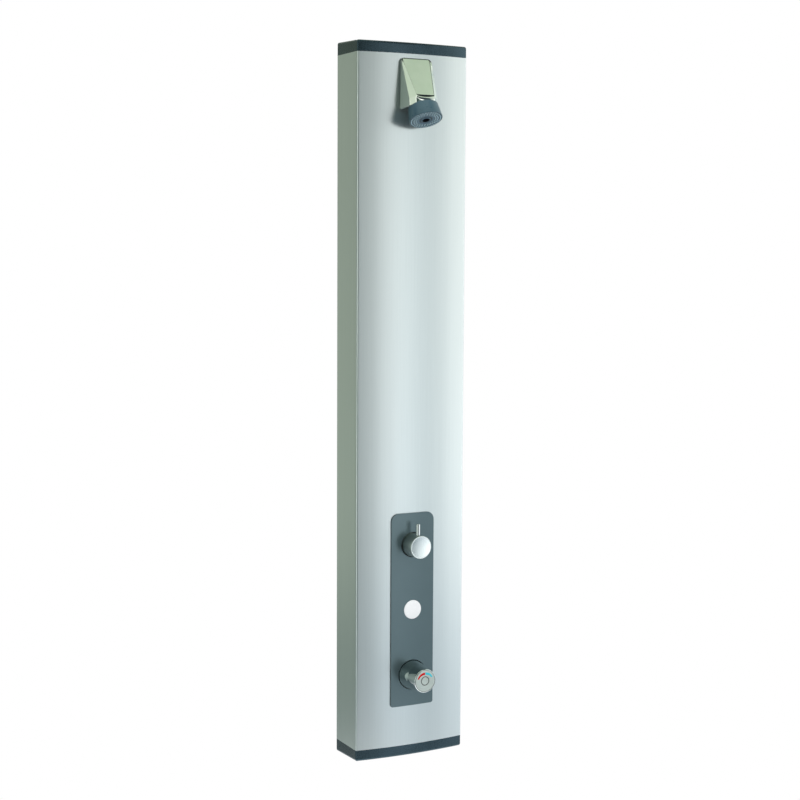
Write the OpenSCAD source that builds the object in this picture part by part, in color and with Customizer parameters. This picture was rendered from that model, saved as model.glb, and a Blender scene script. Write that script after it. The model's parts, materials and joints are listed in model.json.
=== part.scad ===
// Shower panel column: a tall wall-hung casing with a fixed spray head at the top and
// a flow lever, a push button and a thermostat control near the foot.
// X runs to the right, Y into the wall and Z up. The origin lies on the wall, at the middle
// of the column. Depths are measured out of the wall, heights up from the column's foot.

/* [Column] */
// Height of the whole column at the wall
column_h = 1200; // [1000:10:1400]
// Width of the column
column_w = 202; // [200:1:230]
// Depth from the wall to the front corners
side_d = 76; // [75:0.5:80]
// How far the front bulges ahead of its corners
crown = 7.6; // [6:0.1:10]
// Radius of the two upright front edges
edge_r = 3; // [2.2:0.1:5]
// Thickness of the extruded skin
skin_t = 2; // [1.6:0.1:2.4]

/* [End caps] */
// Height of a cap at the wall
cap_h = 21.5; // [20:0.5:26]
// How much lower a cap is at the front
cap_drop = 3.2; // [0:0.1:5]
// Rounding of a cap's outer edge
cap_round = 3.5; // [2:0.1:5]
// Thickness of a cap's walls
cap_t = 2.5; // [2:0.1:3]

/* [Fascia] */
// Width of the fascia plate
fascia_w = 80; // [76:1:90]
// Height of the fascia plate
fascia_h = 330; // [325:1:350]
// Height of the fascia's lower edge above the foot
fascia_foot_h = 90; // [80:1:95]
// Thickness of the fascia plate
fascia_t = 1.5; // [1:0.1:2]
// Thickness of the seal behind the fascia
gasket_t = 0.6; // [0.4:0.1:1]
// Radius of the fascia's upper corners
fascia_top_r = 13.5; // [8:0.5:18]
// Radius of the fascia's lower corners
fascia_bottom_r = 4; // [2:0.5:8]

/* [Flow control] */
// Distance of the flow knob's axis below the fascia's upper edge
flow_in = 54; // [48:1:60]
// Radius of the flow knob
flow_knob_r = 20; // [18:0.5:22]
// How far the flow knob stands ahead of the casing
flow_reach = 31.6; // [30:0.1:36]
// Radius of the pin lever
pin_r = 3; // [2.5:0.1:3.5]
// Distance from the knob's axis to the lever's tip
pin_reach = 37.7; // [30:0.1:42]
// Distance of the lever's axis behind the knob's front
pin_back = 11.7; // [9:0.1:12]

/* [Button] */
// Radius of the white button
button_r = 16; // [14:0.5:17]
// Travel of the button
button_travel = 1; // [0.5:0.1:1.2]

/* [Thermostat] */
// Distance of the thermostat's axis above the fascia's lower edge
mixer_in = 53; // [50:1:60]
// Radius of the thermostat knob at the fascia
thermo_base_r = 24.2; // [23:0.1:25]
// Radius of the thermostat knob at its front
thermo_tip_r = 20; // [19:0.1:22]
// How far the thermostat knob stands ahead of the casing
thermo_reach = 48.8; // [46:0.1:54]
// Number of finger scoops round the thermostat knob
scoops = 4; // [3:1:6]
// Radius of the ball that cuts a scoop
scoop_r = 13.5; // [12:0.1:14]

/* [Spray head] */
// Distance of the bracket's top below the top of the column
head_down = 29; // [26:1:60]
// Height of the bracket's base
head_base_h = 83; // [80:1:90]
// Width of the bracket's base
head_base_w = 56; // [54:1:64]
// Width of the bracket's nose
nose_w = 52; // [50:1:56]
// Tilt of the spray away from straight down
spray_tilt = 24.5; // [20:0.5:26]
// Radius of the spray cup at its face
face_r = 27.7; // [27:0.1:30]
// Radius of the spray cup at its shoulder
cup_top_r = 24.5; // [24:0.1:27]
// Height of the spray cup's side wall
cup_h = 24; // [22:0.5:24]

/* [Water ways] */
// Distance of each inlet's axis from the column's side
inlet_in = 26; // [26:1:28]
// Height of the inlets above the foot
inlet_h = 300; // [290:1:310]
// Outer radius of the pipes
pipe_r = 7.5; // [7:0.1:7.6]
// Wall of the pipes
pipe_t = 0.7; // [0.6:0.1:1]
// Depth of the pipes' centre lines
pipe_d = 34; // [33:0.5:36]

/* [Hidden] */

$fn = 64;
// Facets that show the wide front arc truly
arc_fn = 720;
// Facets of the rounded shapes that are blended
blend_fn = 36;
// How far a cut runs past the face that it opens
over = 1;
// Thickness of the slices that a blend is drawn through
sliver = 0.01;
// Gap round a piece that is fitted without play
fit = 0.05;
// Gap round a piece that drops in loosely
slack = 0.3;
// How far a piece is let into the one that it is made in one with
bite = 0.5;

// The front arc and the column's ends
front_d = side_d + crown;
front_r = (pow(column_w / 2, 2) + pow(crown, 2)) / (2 * crown);
arc_d = front_d - front_r;
foot_z = -column_h / 2;
top_z = column_h / 2;
casing_h = column_h - 2 * cap_h;
casing_z = casing_h / 2;
corner_x = column_w / 2 - edge_r;
corner_d = arc_d + sqrt(pow(front_r - edge_r, 2) - pow(corner_x, 2));
corner_lean = asin(corner_x / (front_r - edge_r));
// How far the front has fallen back at a distance from its middle
function sag(x) = front_r - sqrt(pow(front_r, 2) - pow(x, 2));

// Return lips, screw ports and rails inside the extrusion
lip_w = 8;
port_hole_r = 2.1;
port_ring_r = 4.3;
port_slot_w = 2;
port_bite = 1;
rear_port_x = column_w / 2 - lip_w;
rear_port_d = skin_t + port_ring_r - port_bite;
front_port_x = column_w / 2 - skin_t - port_ring_r + port_bite;
front_port_d = side_d - 2.2 * port_ring_r;
rail_in = 45;
rail_x = column_w / 2 - rail_in;
rail_d = 60;
rail_slot_w = 3.4;
rail_t = 1.8;

// Cap screws
cap_screw_r = 2.08;
cap_hole_r = 2.7;
cap_boss_r = 6;
cap_head_r = 4.6;
cap_head_h = 3;
cap_screw_l = 26;
cap_tab_t = 2;
cap_tab_h = 8;
cap_tab_side_w = 30;
cap_tab_side_d = 38;
cap_tab_front_w = 70;
cap_tilt = atan(cap_drop / front_d);
cap_round_steps = 4;
cap_draft = 0.1;
cap_seat = cap_h - cap_drop - cap_head_h - cap_t;

// Wall brackets
bracket_t = 2;
bracket_leg = 46;
bracket_arm = 14;
bracket_gap = 1.5;
bracket_half = rear_port_x - port_ring_r - bracket_gap;
arm_half = column_w / 2 - cap_t - 2 * slack;
wall_hole_x = 55;
wall_hole_r = 3.25;
wall_hole_in = 33.5;
wall_hole_z = casing_z - wall_hole_in;

// Fascia
fascia_z = foot_z + fascia_foot_h + fascia_h / 2;
fascia_front = front_d + gasket_t + fascia_t;
stud_r = 2;
stud_in = 9;
stud_l = 12;
stud_hole_r = 2.3;
stud_nut_r = 4.2;
stud_nut_h = 3.2;
stud_nut_d = front_d - skin_t - sag(fascia_w / 2 - stud_in + stud_nut_r) - fit;
gasket_in = 0.8;
control_gap = 1.5;

// Valve plate and its screws
plate_t = 2;
plate_back = rail_d - plate_t;
plate_in_x = 15;
plate_w = column_w - 2 * plate_in_x;
plate_flange = 9;
plate_below = 42;
plate_above = 44;
plate_hole_r = 2.1;
screw_r = 1.65;
screw_l = 10;
screw_head_r = 3.5;
screw_head_h = 2.4;
plate_row_in = 14;

// Heights of the controls and inlets
mixer_z = foot_z + fascia_foot_h + mixer_in;
button_z = foot_z + fascia_foot_h + fascia_h / 2;
flow_z = foot_z + fascia_foot_h + fascia_h - flow_in;
inlet_z = foot_z + inlet_h;
inlet_x = column_w / 2 - inlet_in;
plate_z0 = mixer_z - plate_below;
plate_z1 = flow_z + plate_above;
plate_z = (plate_z0 + plate_z1) / 2;
plate_h = plate_z1 - plate_z0;

// Pipe joints
socket_l = 8;
nut_l = 12;
nut_r = 12.5;
bend_r = 18;
bend_gap = 1;
port_r = 11.5;
way_r = 6.3;
nut_gap = 0.1;

// Thermostatic mixer
mixer_r = 20;
mixer_arm = inlet_x - bend_r - nut_l - bend_gap;
mixer_neck = 30;
collar_r = 16.5;
collar_l = 9;
ring_nut_r = 21;
ring_nut_l = 5;
bore_floor = 4;
cartridge_r = 13.5;
cartridge_flange_r = 16;
cartridge_flange_t = 3;
nose_r = 9;
nose_l = 7;
shuttle_r = 8;
shuttle_l = 15;
shuttle_room = 3;
spring_room = 8;
spring_t = 1;
spindle_r = 4;
window_r = 2.6;
stop_ring_r = 13;
stop_ring_t = 4;
stop_lug_w = 5;
stop_lug_h = 3;
mixer_back = pipe_d - mixer_r;
collar_end = rail_d + collar_l;
shuttle_d = mixer_back + bore_floor + spring_room;
cartridge_end = collar_end + cartridge_flange_t;

// Knobs
knob_dip = 3.5;
knob_back = front_d - knob_dip;
knob_wall = 3;
knob_web = 12;
tip_bevel = 0.8;
face_t = 1.2;
face_rim = 1.6;
thermo_front = front_d + thermo_reach;
thermo_waist_share = 0.55;
thermo_waist_r = thermo_tip_r + (thermo_base_r - thermo_tip_r) * 0.3;
thermo_face_r = thermo_tip_r - face_rim;
thermo_cap_r = 7.3;
scoop_off = 6.6;
scoop_rim = 14.5;
knob_screw_r = 2;
knob_screw_head_r = 4;
knob_screw_head_h = 4;
knob_screw_l = 16;
flow_front = front_d + flow_reach;
flow_bevel = 0.6;
lever_d = flow_front - pin_back;

// Flow valve
flow_r = 17;
flow_neck = 28;
flow_collar_r = 14;
flow_cartridge_r = 11;
disc_r = 8.5;
disc_t = 3;
disc_gap = 0.05;
disc_lead = 5;
disc_way_r = 2.4;
disc_way_off = 4.5;
flow_ring_nut_r = 18.5;
flow_back = pipe_d - flow_r;
flow_disc_d = flow_back + bore_floor + disc_lead;
flow_cartridge_end = collar_end + cartridge_flange_t;

// Button
button_dome = 0.7;
button_proud = 0.4;
button_lift = button_proud + button_travel;
button_room = 5;
button_disc_t = 3;
button_play = 0.25;
button_stem_r = 3;
button_wall = 2.4;
button_back_d = 62;
button_flange_r = 25;
button_flange_t = 2;
button_out_r = button_r + button_wall + button_play;
button_seat_d = front_d - skin_t - sag(button_flange_r) - fit;
button_front = fascia_front + button_lift;
button_under = button_front - button_dome - button_disc_t;
button_floor = button_under - button_room;
switch_w = 12;
switch_h = 5;
switch_nub_r = 1.8;
switch_gap = 0.3;
button_screw_r = 1.2;
button_screw_x = 22.3;

// Solenoid valve
solenoid_h = 96;
solenoid_z = flow_z + solenoid_h;
solenoid_neck = 26;
solenoid_w = 34;
armature_r = 5;
armature_wall = 1;
armature_end = 72;
coil_r = 14;
coil_t = 20;
plunger_l = 18;

// Control box
box_w = 54;
box_h = 112;
box_t = 2.2;
box_depth = 28;
box_round = 5;
box_step_h = 190;
box_z = solenoid_z + box_step_h;
lid_t = 2.5;
board_t = 1.6;
board_h = 58;
battery_w = 35;
battery_h = 36;
battery_t = 19;
gland_r = 6;
gland_l = 12;
gland_x = 12;

// Pipe brackets on the riser
riser_z0 = solenoid_z + solenoid_neck;
clip_h = 16;
clip_t = 2;
clip_wall = 2.5;
clip_web = 5;
clip_shares = [0.08, 0.62, 0.92];

// Head bracket
head_top_z = top_z - head_down;
head_foot_z = head_top_z - head_base_h;
head_z = (head_top_z + head_foot_z) / 2;
head_seal_t = 1;
head_corner_r = 5;
head_foot_r = 2.5;
head_base_d = front_d + head_seal_t;
head_skirt = 4;
head_wall = 2.4;
brow_reach = 29.2;
brow_h = 16.6;
brow_r = 9;
brow_w = 31;
brow_d = front_d + brow_reach;
brow_z = head_foot_z + brow_h;
cheek_reach = 31.2;
cheek_h = 13.8;
cheek_r = 1.6;
cheek_d = front_d + cheek_reach;
cheek_z = head_foot_z + cheek_h;
throat_reach = 28.6;
throat_h = 5.6;
throat_r = 2.4;
throat_d = front_d + throat_reach;
throat_z = head_foot_z + throat_h;
inset_t = 0.9;
inset_gap = 0.35;
inset_top_w = 48.4;
inset_bottom_w = 29.2;
inset_top_in = 2.6;
inset_bottom_in = 1.6;
inset_r = 3.5;
nipple_h = 27;
nipple_z = head_foot_z + nipple_h;
nipple_r = 10.4;
nipple_hole_r = 10.8;
nipple_l = 22;
head_bolt_r = 2.4;
head_bolt_x = 17;
head_bolt_h = 25;
head_boss_r = 5;
head_boss_l = 11;
head_boss_root = 7;
head_nut_r = 17;
head_nut_l = 6;
head_nut_d = front_d - skin_t - sag(head_nut_r) - fit;
elbow_r = 8.2;
elbow_way_r = 5.2;
elbow_collar_l = 5;
riser_bend = 26;

// Spray head, in its own frame: the face's centre is the origin and its axis points up
face_reach = 38.7;
face_drop = 18.9;
face_d = front_d + face_reach;
face_z = head_foot_z - face_drop;
cup_wall = 1.8;
cup_edge_r = 1.2;
cup_ledge = 1.6;
shoulder_h = 1.2;
cup_neck_r = 13.4;
cup_neck_h = 6;
spigot_r = 10.4;
spigot_l = 14;
plate_in = 0.25;
plate_l = 3;
face_inset = 0.4;
nub_r = 1.3;
nub_tip_r = 0.95;
nub_h = 1.5;
nub_ring_shares = [0.874, 0.722, 0.57];
nub_counts = [30, 24, 18];
eye_r = 6.3;
eye_screw_r = 3.4;
eye_rim_t = 1.2;
ridge_r = 11.6;
ridge_h = 0.35;
eye_floor = cup_h / 2 - eye_rim_t - nub_h;
regulator_t = 4;

// Rows along the rails, the inlets and the pipes' ends
plate_screw_shares = [-0.86, -0.3, 0.3, 0.86];
clip_zs = [for (k = clip_shares) riser_z0 + k * (nipple_z - riser_bend - riser_z0)];
inlet_back = slack;
inlet_tail_r = 12.4;
inlet_hex_r = 14.6;
inlet_hex_l = 5;
inlet_thread_r = 10.2;
inlet_thread_l = 13;
inlet_seat_r = 8.8;
inlet_seat_l = 3;
inlet_drop = 24;
inlet_hex_d = rear_port_d + port_ring_r + slack;
inlet_foot_r = 9;
valve_body_l = 14;
strainer_r = 8.6;
strainer_t = 1.4;
riser_end_d = front_d - skin_t - nipple_l + socket_l;
link_pairs = [
    [mixer_z + mixer_neck, flow_z - flow_neck],
    [flow_z + flow_neck, solenoid_z - solenoid_neck]
];

// Depths and heights of the pieces that sit inside others
thermo_spindle_d0 = shuttle_d + shuttle_l + shuttle_room;
thermo_spindle_d1 = thermo_front - face_t - knob_web;
flow_turn_d = flow_disc_d + disc_t + disc_gap;
flow_spindle_d1 = flow_front - knob_web;
plunger_d = pipe_d + port_r / 2 + slack;
box_d = rail_d - box_depth;
board_z = box_z + board_h / 2 - box_h / 2 + box_t + plate_row_in + screw_head_r;
floor_d = rail_d - box_t;
battery_z = box_z + box_h / 2 - plate_row_in - battery_h / 2 - box_t;
slope_top_d = head_base_d + head_seal_t;
brow_gap = sqrt(pow(brow_d - slope_top_d, 2) + pow(head_top_z - brow_z, 2));
slope_l = sqrt(pow(brow_gap, 2) - pow(brow_r, 2));
slope_angle = atan((head_top_z - brow_z) / (brow_d - slope_top_d)) - asin(brow_r / brow_gap);
elbow_d = front_d + face_reach - (nipple_z - face_z) * tan(spray_tilt);
elbow_rise = (nipple_z - face_z) / cos(spray_tilt);
regulator_z = cup_h - spigot_l / 2 - regulator_t - fit;

// A rod straight out of the wall, from depth d0 to depth d1
module rod(r, d0, d1) {
    translate([0, -d0, 0]) rotate([90, 0, 0]) cylinder(r = r, h = d1 - d0);
}

// A flat outline in X and Z, thickened from depth d0 to depth d1
module slab(d0, d1) {
    translate([0, -d0, 0]) rotate([90, 0, 0]) linear_extrude(d1 - d0) children();
}

// A profile of radius and depth, turned round an axis straight out of the wall
module turned() {
    rotate([90, 0, 0]) rotate_extrude() children();
}

// A rod along X, from x0 to x1, at depth d
module crossbar(r, x0, x1, d) {
    translate([x0, -d, 0]) rotate([0, 90, 0]) cylinder(r = r, h = x1 - x0);
}

// An upright rod, from z0 to z1, at depth d
module post(r, z0, z1, d) {
    translate([0, -d, z0]) cylinder(r = r, h = z1 - z0);
}

// A six-sided nut's outline, by its radius across corners
module hexagon(r) {
    circle(r = r, $fn = 6);
}

module round_rect(w, h, r) {
    square([w, h - 2 * r], center = true);
    square([w - 2 * r, h], center = true);
    for (sx = [-1, 1], sz = [-1, 1]) translate([sx * (w / 2 - r), sz * (h / 2 - r)]) circle(r = r);
}

// The column's outline, set in all round, with its back edge at depth back
module outline(inset = 0, back = 0) {
    half = column_w / 2 - inset;
    reach = 2 * front_r;
    translate([-half, -corner_d]) square([2 * half, corner_d - back]);
    if (edge_r > inset) {
        for (s = [-1, 1]) translate([s * corner_x, -corner_d]) circle(r = edge_r - inset);
        intersection() {
            translate([0, -arc_d]) circle(r = front_r - inset, $fn = arc_fn);
            translate([0, -arc_d]) polygon([
                [0, 0],
                [reach * sin(corner_lean), -reach * cos(corner_lean)],
                [-reach * sin(corner_lean), -reach * cos(corner_lean)]
            ]);
            translate([-column_w, -column_w]) square([2 * column_w, column_w - back]);
        }
    } else {
        intersection() {
            translate([0, -arc_d]) circle(r = front_r - inset, $fn = arc_fn);
            translate([-half, -column_w]) square([2 * half, column_w - back]);
        }
    }
}

// What lies behind the casing's front arc, moved out by a thickness
module behind_front(out, z0, z1) {
    translate([0, -arc_d, z0]) cylinder(r = front_r + out, h = z1 - z0, $fn = arc_fn);
}

// Places of the screw ports: rear pair and front pair, as X and depth
port_places = [
    [-rear_port_x, rear_port_d], [rear_port_x, rear_port_d],
    [-front_port_x, front_port_d], [front_port_x, front_port_d]
];

module port_rings() {
    for (p = port_places) translate([p[0], -p[1]]) circle(r = port_ring_r);
}

module port_holes() {
    for (p = port_places) translate([p[0], -p[1]]) {
        circle(r = port_hole_r);
        translate([p[0] > 0 ? -port_ring_r - over : 0, -port_slot_w / 2])
            square([port_ring_r + over, port_slot_w]);
    }
}

module rails() {
    for (s = [-1, 1], t = [-1, 1])
        translate([s * rail_x + t * (rail_slot_w + rail_t) / 2 - rail_t / 2, -front_d])
            square([rail_t, front_d - rail_d]);
}

module casing_profile() {
    difference() {
        union() {
            difference() {
                outline();
                outline(skin_t, skin_t);
                translate([-rear_port_x, -skin_t - over]) square([2 * rear_port_x, skin_t + 2 * over]);
            }
            intersection() {
                outline(skin_t / 2, skin_t / 2);
                union() {
                    port_rings();
                    rails();
                }
            }
        }
        port_holes();
    }
}

module casing() color("#c3cfcb") difference() {
    translate([0, 0, -casing_z]) linear_extrude(casing_h) casing_profile();
    translate([0, 0, mixer_z]) rod(thermo_base_r + 2 * control_gap, rail_d, front_d + over);
    translate([0, 0, flow_z]) rod(flow_knob_r + 2 * control_gap, rail_d, front_d + over);
    translate([0, 0, button_z]) rod(button_r + button_wall + 2 * button_play, rail_d, front_d + over);
    fascia_studs_at() rod(stud_hole_r, rail_d, front_d + over);
    translate([0, 0, button_z]) button_screws_at() rod(button_screw_r + fit, rail_d, front_d + over);
    translate([0, 0, nipple_z]) rod(nipple_hole_r, rail_d, front_d + over);
    head_bolts_at() rod(head_bolt_r + slack, rail_d, front_d + over);
}

// The top cap's outside, standing on its joint with the casing
module cap_shell() {
    hull() {
        linear_extrude(sliver) outline();
        for (i = [0 : cap_round_steps]) {
            a = 90 * i / cap_round_steps;
            multmatrix([[1, 0, 0, 0], [0, 1, 0, 0], [0, tan(cap_tilt), 1, 0], [0, 0, 0, 1]])
                translate([0, 0, cap_h - cap_round * (1 - sin(a)) - sliver])
                    linear_extrude(sliver) outline(cap_draft + cap_round * (1 - cos(a)), 0);
        }
    }
}

// Ribs under the cap that plug into the casing between its ports and rails
module cap_tabs() {
    intersection() {
        difference() {
            outline(skin_t + slack, skin_t + slack);
            outline(skin_t + slack + cap_tab_t, 0);
        }
        union() {
            for (s = [-1, 1])
                translate([s * column_w / 2 - column_w / 4, -cap_tab_side_d - cap_tab_side_w / 2])
                    square([column_w / 2, cap_tab_side_w]);
            translate([-cap_tab_front_w / 2, -front_d]) square([cap_tab_front_w, front_d - rail_d]);
        }
    }
}

module cap() {
    flange_room = bracket_t + slack;
    difference() {
        union() {
            difference() {
                cap_shell();
                translate([0, 0, -over]) linear_extrude(cap_seat + over) outline(cap_t, cap_t);
            }
            for (p = port_places) intersection() {
                z = abs(p[0]) == rear_port_x ? flange_room : 0;
                translate([p[0], -p[1], z]) cylinder(r = cap_boss_r, h = cap_seat + bite - z);
                linear_extrude(cap_h) outline(bite, bite);
            }
            translate([0, 0, -cap_tab_h]) linear_extrude(cap_tab_h + cap_seat + bite) cap_tabs();
        }
        for (p = port_places) translate([p[0], -p[1], 0]) {
            translate([0, 0, -over]) cylinder(r = cap_hole_r, h = cap_h + 2 * over);
            translate([0, 0, cap_seat]) cylinder(r = cap_head_r + slack, h = cap_h);
        }
        translate([-arm_half - slack, -cap_t - over, -over])
            cube([2 * (arm_half + slack), cap_t + 2 * over, flange_room + over]);
    }
}

module top_cap() color("#3f5059") translate([0, 0, casing_z]) cap();
module bottom_cap() color("#3f5059") mirror([0, 0, 1]) translate([0, 0, casing_z]) cap();

module cap_screws() color("silver")
    for (m = [0, 1]) mirror([0, 0, m]) for (p = port_places)
        translate([p[0], -p[1], casing_z + cap_seat]) difference() {
            union() {
                cylinder(r = cap_head_r, h = cap_head_h);
                translate([0, 0, bite - cap_screw_l]) cylinder(r = cap_screw_r, h = cap_screw_l);
            }
            translate([0, 0, cap_head_h / 2]) cylinder(r = cap_head_r / 2, h = cap_head_h, $fn = 6);
        }

// A bent steel bracket: one leg on the wall, one arm over the casing's end
module wall_bracket() color("#b8bcc0") {
    difference() {
        union() {
            translate([-bracket_half, -bracket_t, casing_z - bracket_leg])
                cube([2 * bracket_half, bracket_t, bracket_leg + bracket_t]);
            translate([-arm_half, -bracket_arm, casing_z]) cube([2 * arm_half, bracket_arm, bracket_t]);
        }
        for (s = [-1, 1]) {
            translate([s * wall_hole_x, 0, wall_hole_z]) rod(wall_hole_r, -over, bracket_t + over);
            translate([s * rear_port_x, -rear_port_d, casing_z - over])
                cylinder(r = cap_hole_r, h = bracket_t + 2 * over);
        }
    }
}

module upper_bracket() wall_bracket();
module lower_bracket() mirror([0, 0, 1]) wall_bracket();

// The fascia's outline, set in all round
module fascia_outline(inset = 0) {
    w = fascia_w / 2 - inset;
    h = fascia_h / 2 - inset;
    rt = fascia_top_r - inset;
    rb = fascia_bottom_r - inset;
    translate([-w, rb - h]) square([2 * w, 2 * h - rt - rb]);
    translate([rt - w, h - rt - bite]) square([2 * (w - rt), rt + bite]);
    translate([rb - w, -h]) square([2 * (w - rb), rb + bite]);
    for (s = [-1, 1]) {
        translate([s * (w - rt), h - rt]) circle(r = rt);
        translate([s * (w - rb), rb - h]) circle(r = rb);
    }
}

module fascia_studs_at() {
    for (sx = [-1, 1], sz = [-1, 1])
        translate([sx * (fascia_w / 2 - stud_in), 0, fascia_z + sz * (fascia_h / 2 - stud_in)]) children();
}

module control_holes(gap) {
    translate([0, 0, mixer_z]) rod(thermo_base_r + gap, rail_d, front_d + stud_l);
    translate([0, 0, flow_z]) rod(flow_knob_r + gap, rail_d, front_d + stud_l);
}

// A sheet bent round the casing's front, between two thicknesses ahead of it
module bent_sheet(t0, t1, z0, z1) {
    difference() {
        intersection() {
            children();
            behind_front(t1, z0, z1);
        }
        behind_front(t0, z0 - over, z1 + over);
    }
}

module fascia() color("#5a6c73") {
    z0 = fascia_z - fascia_h / 2 - over;
    z1 = fascia_z + fascia_h / 2 + over;
    difference() {
        bent_sheet(gasket_t, gasket_t + fascia_t, z0, z1)
            translate([0, 0, fascia_z]) slab(side_d - crown, fascia_front + over) fascia_outline();
        control_holes(control_gap);
        translate([0, 0, button_z]) rod(button_r + button_play, rail_d, fascia_front + over);
    }
    fascia_studs_at() rod(stud_r, front_d - stud_l, front_d + gasket_t);
}

module fascia_gasket() color("#1d2022") {
    z0 = fascia_z - fascia_h / 2 - over;
    z1 = fascia_z + fascia_h / 2 + over;
    difference() {
        bent_sheet(0, gasket_t, z0, z1)
            translate([0, 0, fascia_z]) slab(side_d - crown, fascia_front + over) fascia_outline(gasket_in);
        control_holes(2 * control_gap);
        translate([0, 0, button_z])
            rod(button_r + button_wall + button_play + slack, rail_d, fascia_front + over);
        fascia_studs_at() rod(stud_hole_r, rail_d, fascia_front + over);
    }
}

module fascia_nuts() color("silver")
    fascia_studs_at() difference() {
        slab(stud_nut_d - stud_nut_h, stud_nut_d) hexagon(stud_nut_r);
        rod(stud_r + fit, rail_d, front_d);
    }

// Places of the screws along the rails that hold the valve plate
module plate_screws_at() {
    for (s = [-1, 1], k = plate_screw_shares)
        translate([s * rail_x, 0, plate_z + k * plate_h / 2]) children();
}

module elbow_screws_at() {
    for (s = [-1, 1]) translate([s * inlet_x, 0, inlet_z]) children();
}

module valve_plate() color("#aeb4b6") difference() {
    union() {
        translate([0, 0, plate_z]) slab(plate_back, rail_d) round_rect(plate_w, plate_h, plate_flange / 2);
        for (s = [-1, 1])
            translate([s * (plate_w - plate_t) / 2, 0, plate_z])
                slab(plate_back - plate_flange, plate_back + bite)
                    square([plate_t, plate_h - 2 * plate_flange], center = true);
    }
    translate([0, 0, mixer_z]) rod(collar_r + slack, rail_d - 2 * plate_t, rail_d + over);
    translate([0, 0, flow_z]) rod(flow_collar_r + slack, rail_d - 2 * plate_t, rail_d + over);
    plate_screws_at() rod(plate_hole_r, rail_d - 2 * plate_t, rail_d + over);
    elbow_screws_at() rod(plate_hole_r, rail_d - 2 * plate_t, rail_d + over);
}

// A pan-head screw whose head sits at the given depth and whose shank runs out of the wall
module pan_screw(d) {
    rod(screw_head_r, d - screw_head_h, d);
    rod(screw_r, d - bite, d + screw_l);
}

module plate_screws() color("silver") {
    plate_screws_at() pan_screw(plate_back);
    for (z = clip_zs, s = [-1, 1]) translate([s * rail_x, 0, z]) pan_screw(rail_d - clip_t);
    for (s = [-1, 1])
        translate([rail_x, 0, box_z + s * (box_h / 2 - plate_row_in)]) pan_screw(rail_d - box_t);
    elbow_screws_at() mirror([0, 1, 0]) translate([0, rail_d, 0]) pan_screw(0);
}

// Clips that hold the riser on the rails
module pipe_brackets() color("#aeb4b6")
    for (z = clip_zs) translate([0, 0, z]) difference() {
        union() {
            slab(rail_d - clip_t, rail_d) round_rect(2 * rail_x + clip_h, clip_h, clip_h / 4);
            translate([-clip_web / 2, clip_t / 2 - rail_d, -clip_h / 2])
                cube([clip_web, rail_d - pipe_d, clip_h]);
            post(pipe_r + clip_wall, -clip_h / 2, clip_h / 2, pipe_d);
        }
        post(pipe_r + fit, -clip_h, clip_h, pipe_d);
        for (s = [-1, 1]) translate([s * rail_x, 0, 0]) rod(plate_hole_r, rail_d - 2 * clip_t, rail_d + over);
    }

// Inlet elbows: thread towards the wall, pipe socket downwards, foot on the valve plate
module inlet_elbow() {
    difference() {
        union() {
            rod(inlet_tail_r, inlet_back, pipe_d + port_r + 2 * bite);
            slab(inlet_hex_d, inlet_hex_d + inlet_hex_l) hexagon(inlet_hex_r);
            rod(inlet_foot_r, pipe_d, plate_back);
            post(port_r, -inlet_drop, 0, pipe_d);
        }
        rod(inlet_thread_r, inlet_back - over, inlet_back + inlet_thread_l);
        rod(inlet_seat_r, inlet_back, inlet_back + inlet_thread_l + inlet_seat_l);
        rod(way_r, inlet_back, pipe_d + way_r + bite);
        post(way_r - slack, -inlet_drop - over, 0, pipe_d);
        post(pipe_r + fit, -inlet_drop - over, socket_l - inlet_drop, pipe_d);
        rod(screw_r + fit, pipe_d + way_r + 4 * bite, plate_back + over);
    }
}
module inlet_elbows() color("#c9a45c") elbow_screws_at() inlet_elbow();

// Non-return valves, each with its strainer basket in the mouth of the inlet
module inlet_cartridges() color("#e8e8e4") elbow_screws_at() {
    d0 = inlet_back + inlet_thread_l + inlet_seat_l;
    difference() {
        union() {
            rod(strainer_r, d0 - strainer_t, d0 - fit);
            rod(way_r - fit, d0 - strainer_t, d0 + valve_body_l);
        }
        rod(way_r * 0.62, d0 + strainer_t, d0 + valve_body_l + over);
        for (a = [0 : 60 : 300]) rotate([0, a, 0]) translate([way_r * 0.45, 0, 0])
            rod(way_r * 0.12, d0 - strainer_t - over, d0 + 2 * strainer_t);
    }
}

// A pipe's straight piece along X or Z, and its quarter bends, as hollow rings swept
module pipe_ring() {
    difference() {
        circle(r = pipe_r);
        circle(r = pipe_r - pipe_t);
    }
}

// A supply pipe on the right: down from the inlet, then a bend inwards to the mixer's arm
module supply_pipe() {
    x = inlet_x;
    translate([x, -pipe_d, mixer_z + bend_r])
        linear_extrude(inlet_z - inlet_drop + socket_l - mixer_z - bend_r - fit) pipe_ring();
    translate([x - bend_r, -pipe_d, mixer_z + bend_r]) rotate([90, 90, 0])
        rotate_extrude(angle = 90) translate([bend_r, 0]) pipe_ring();
    translate([mixer_arm - socket_l + fit, -pipe_d, mixer_z]) rotate([90, 0, 90])
        linear_extrude(x - bend_r - mixer_arm + socket_l - fit) pipe_ring();
}
module supply_pipes() color("#b87347") {
    supply_pipe();
    mirror([1, 0, 0]) supply_pipe();
}

// Straight pipes: mixer to flow valve, and flow valve to solenoid valve
module link_pipes() color("#b87347")
    for (p = link_pairs)
        translate([0, -pipe_d, p[0] - socket_l + fit])
            linear_extrude(p[1] - p[0] + 2 * socket_l - 2 * fit) pipe_ring();

module riser_pipe() color("#b87347") {
    translate([0, -pipe_d, riser_z0 - socket_l + fit])
        linear_extrude(nipple_z - riser_bend - riser_z0 + socket_l - fit) pipe_ring();
    translate([0, -pipe_d - riser_bend, nipple_z - riser_bend]) rotate([90, 0, 90])
        rotate_extrude(angle = 90) translate([riser_bend, 0]) pipe_ring();
    slab(pipe_d + riser_bend, riser_end_d - fit) translate([0, nipple_z]) pipe_ring();
}

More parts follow.
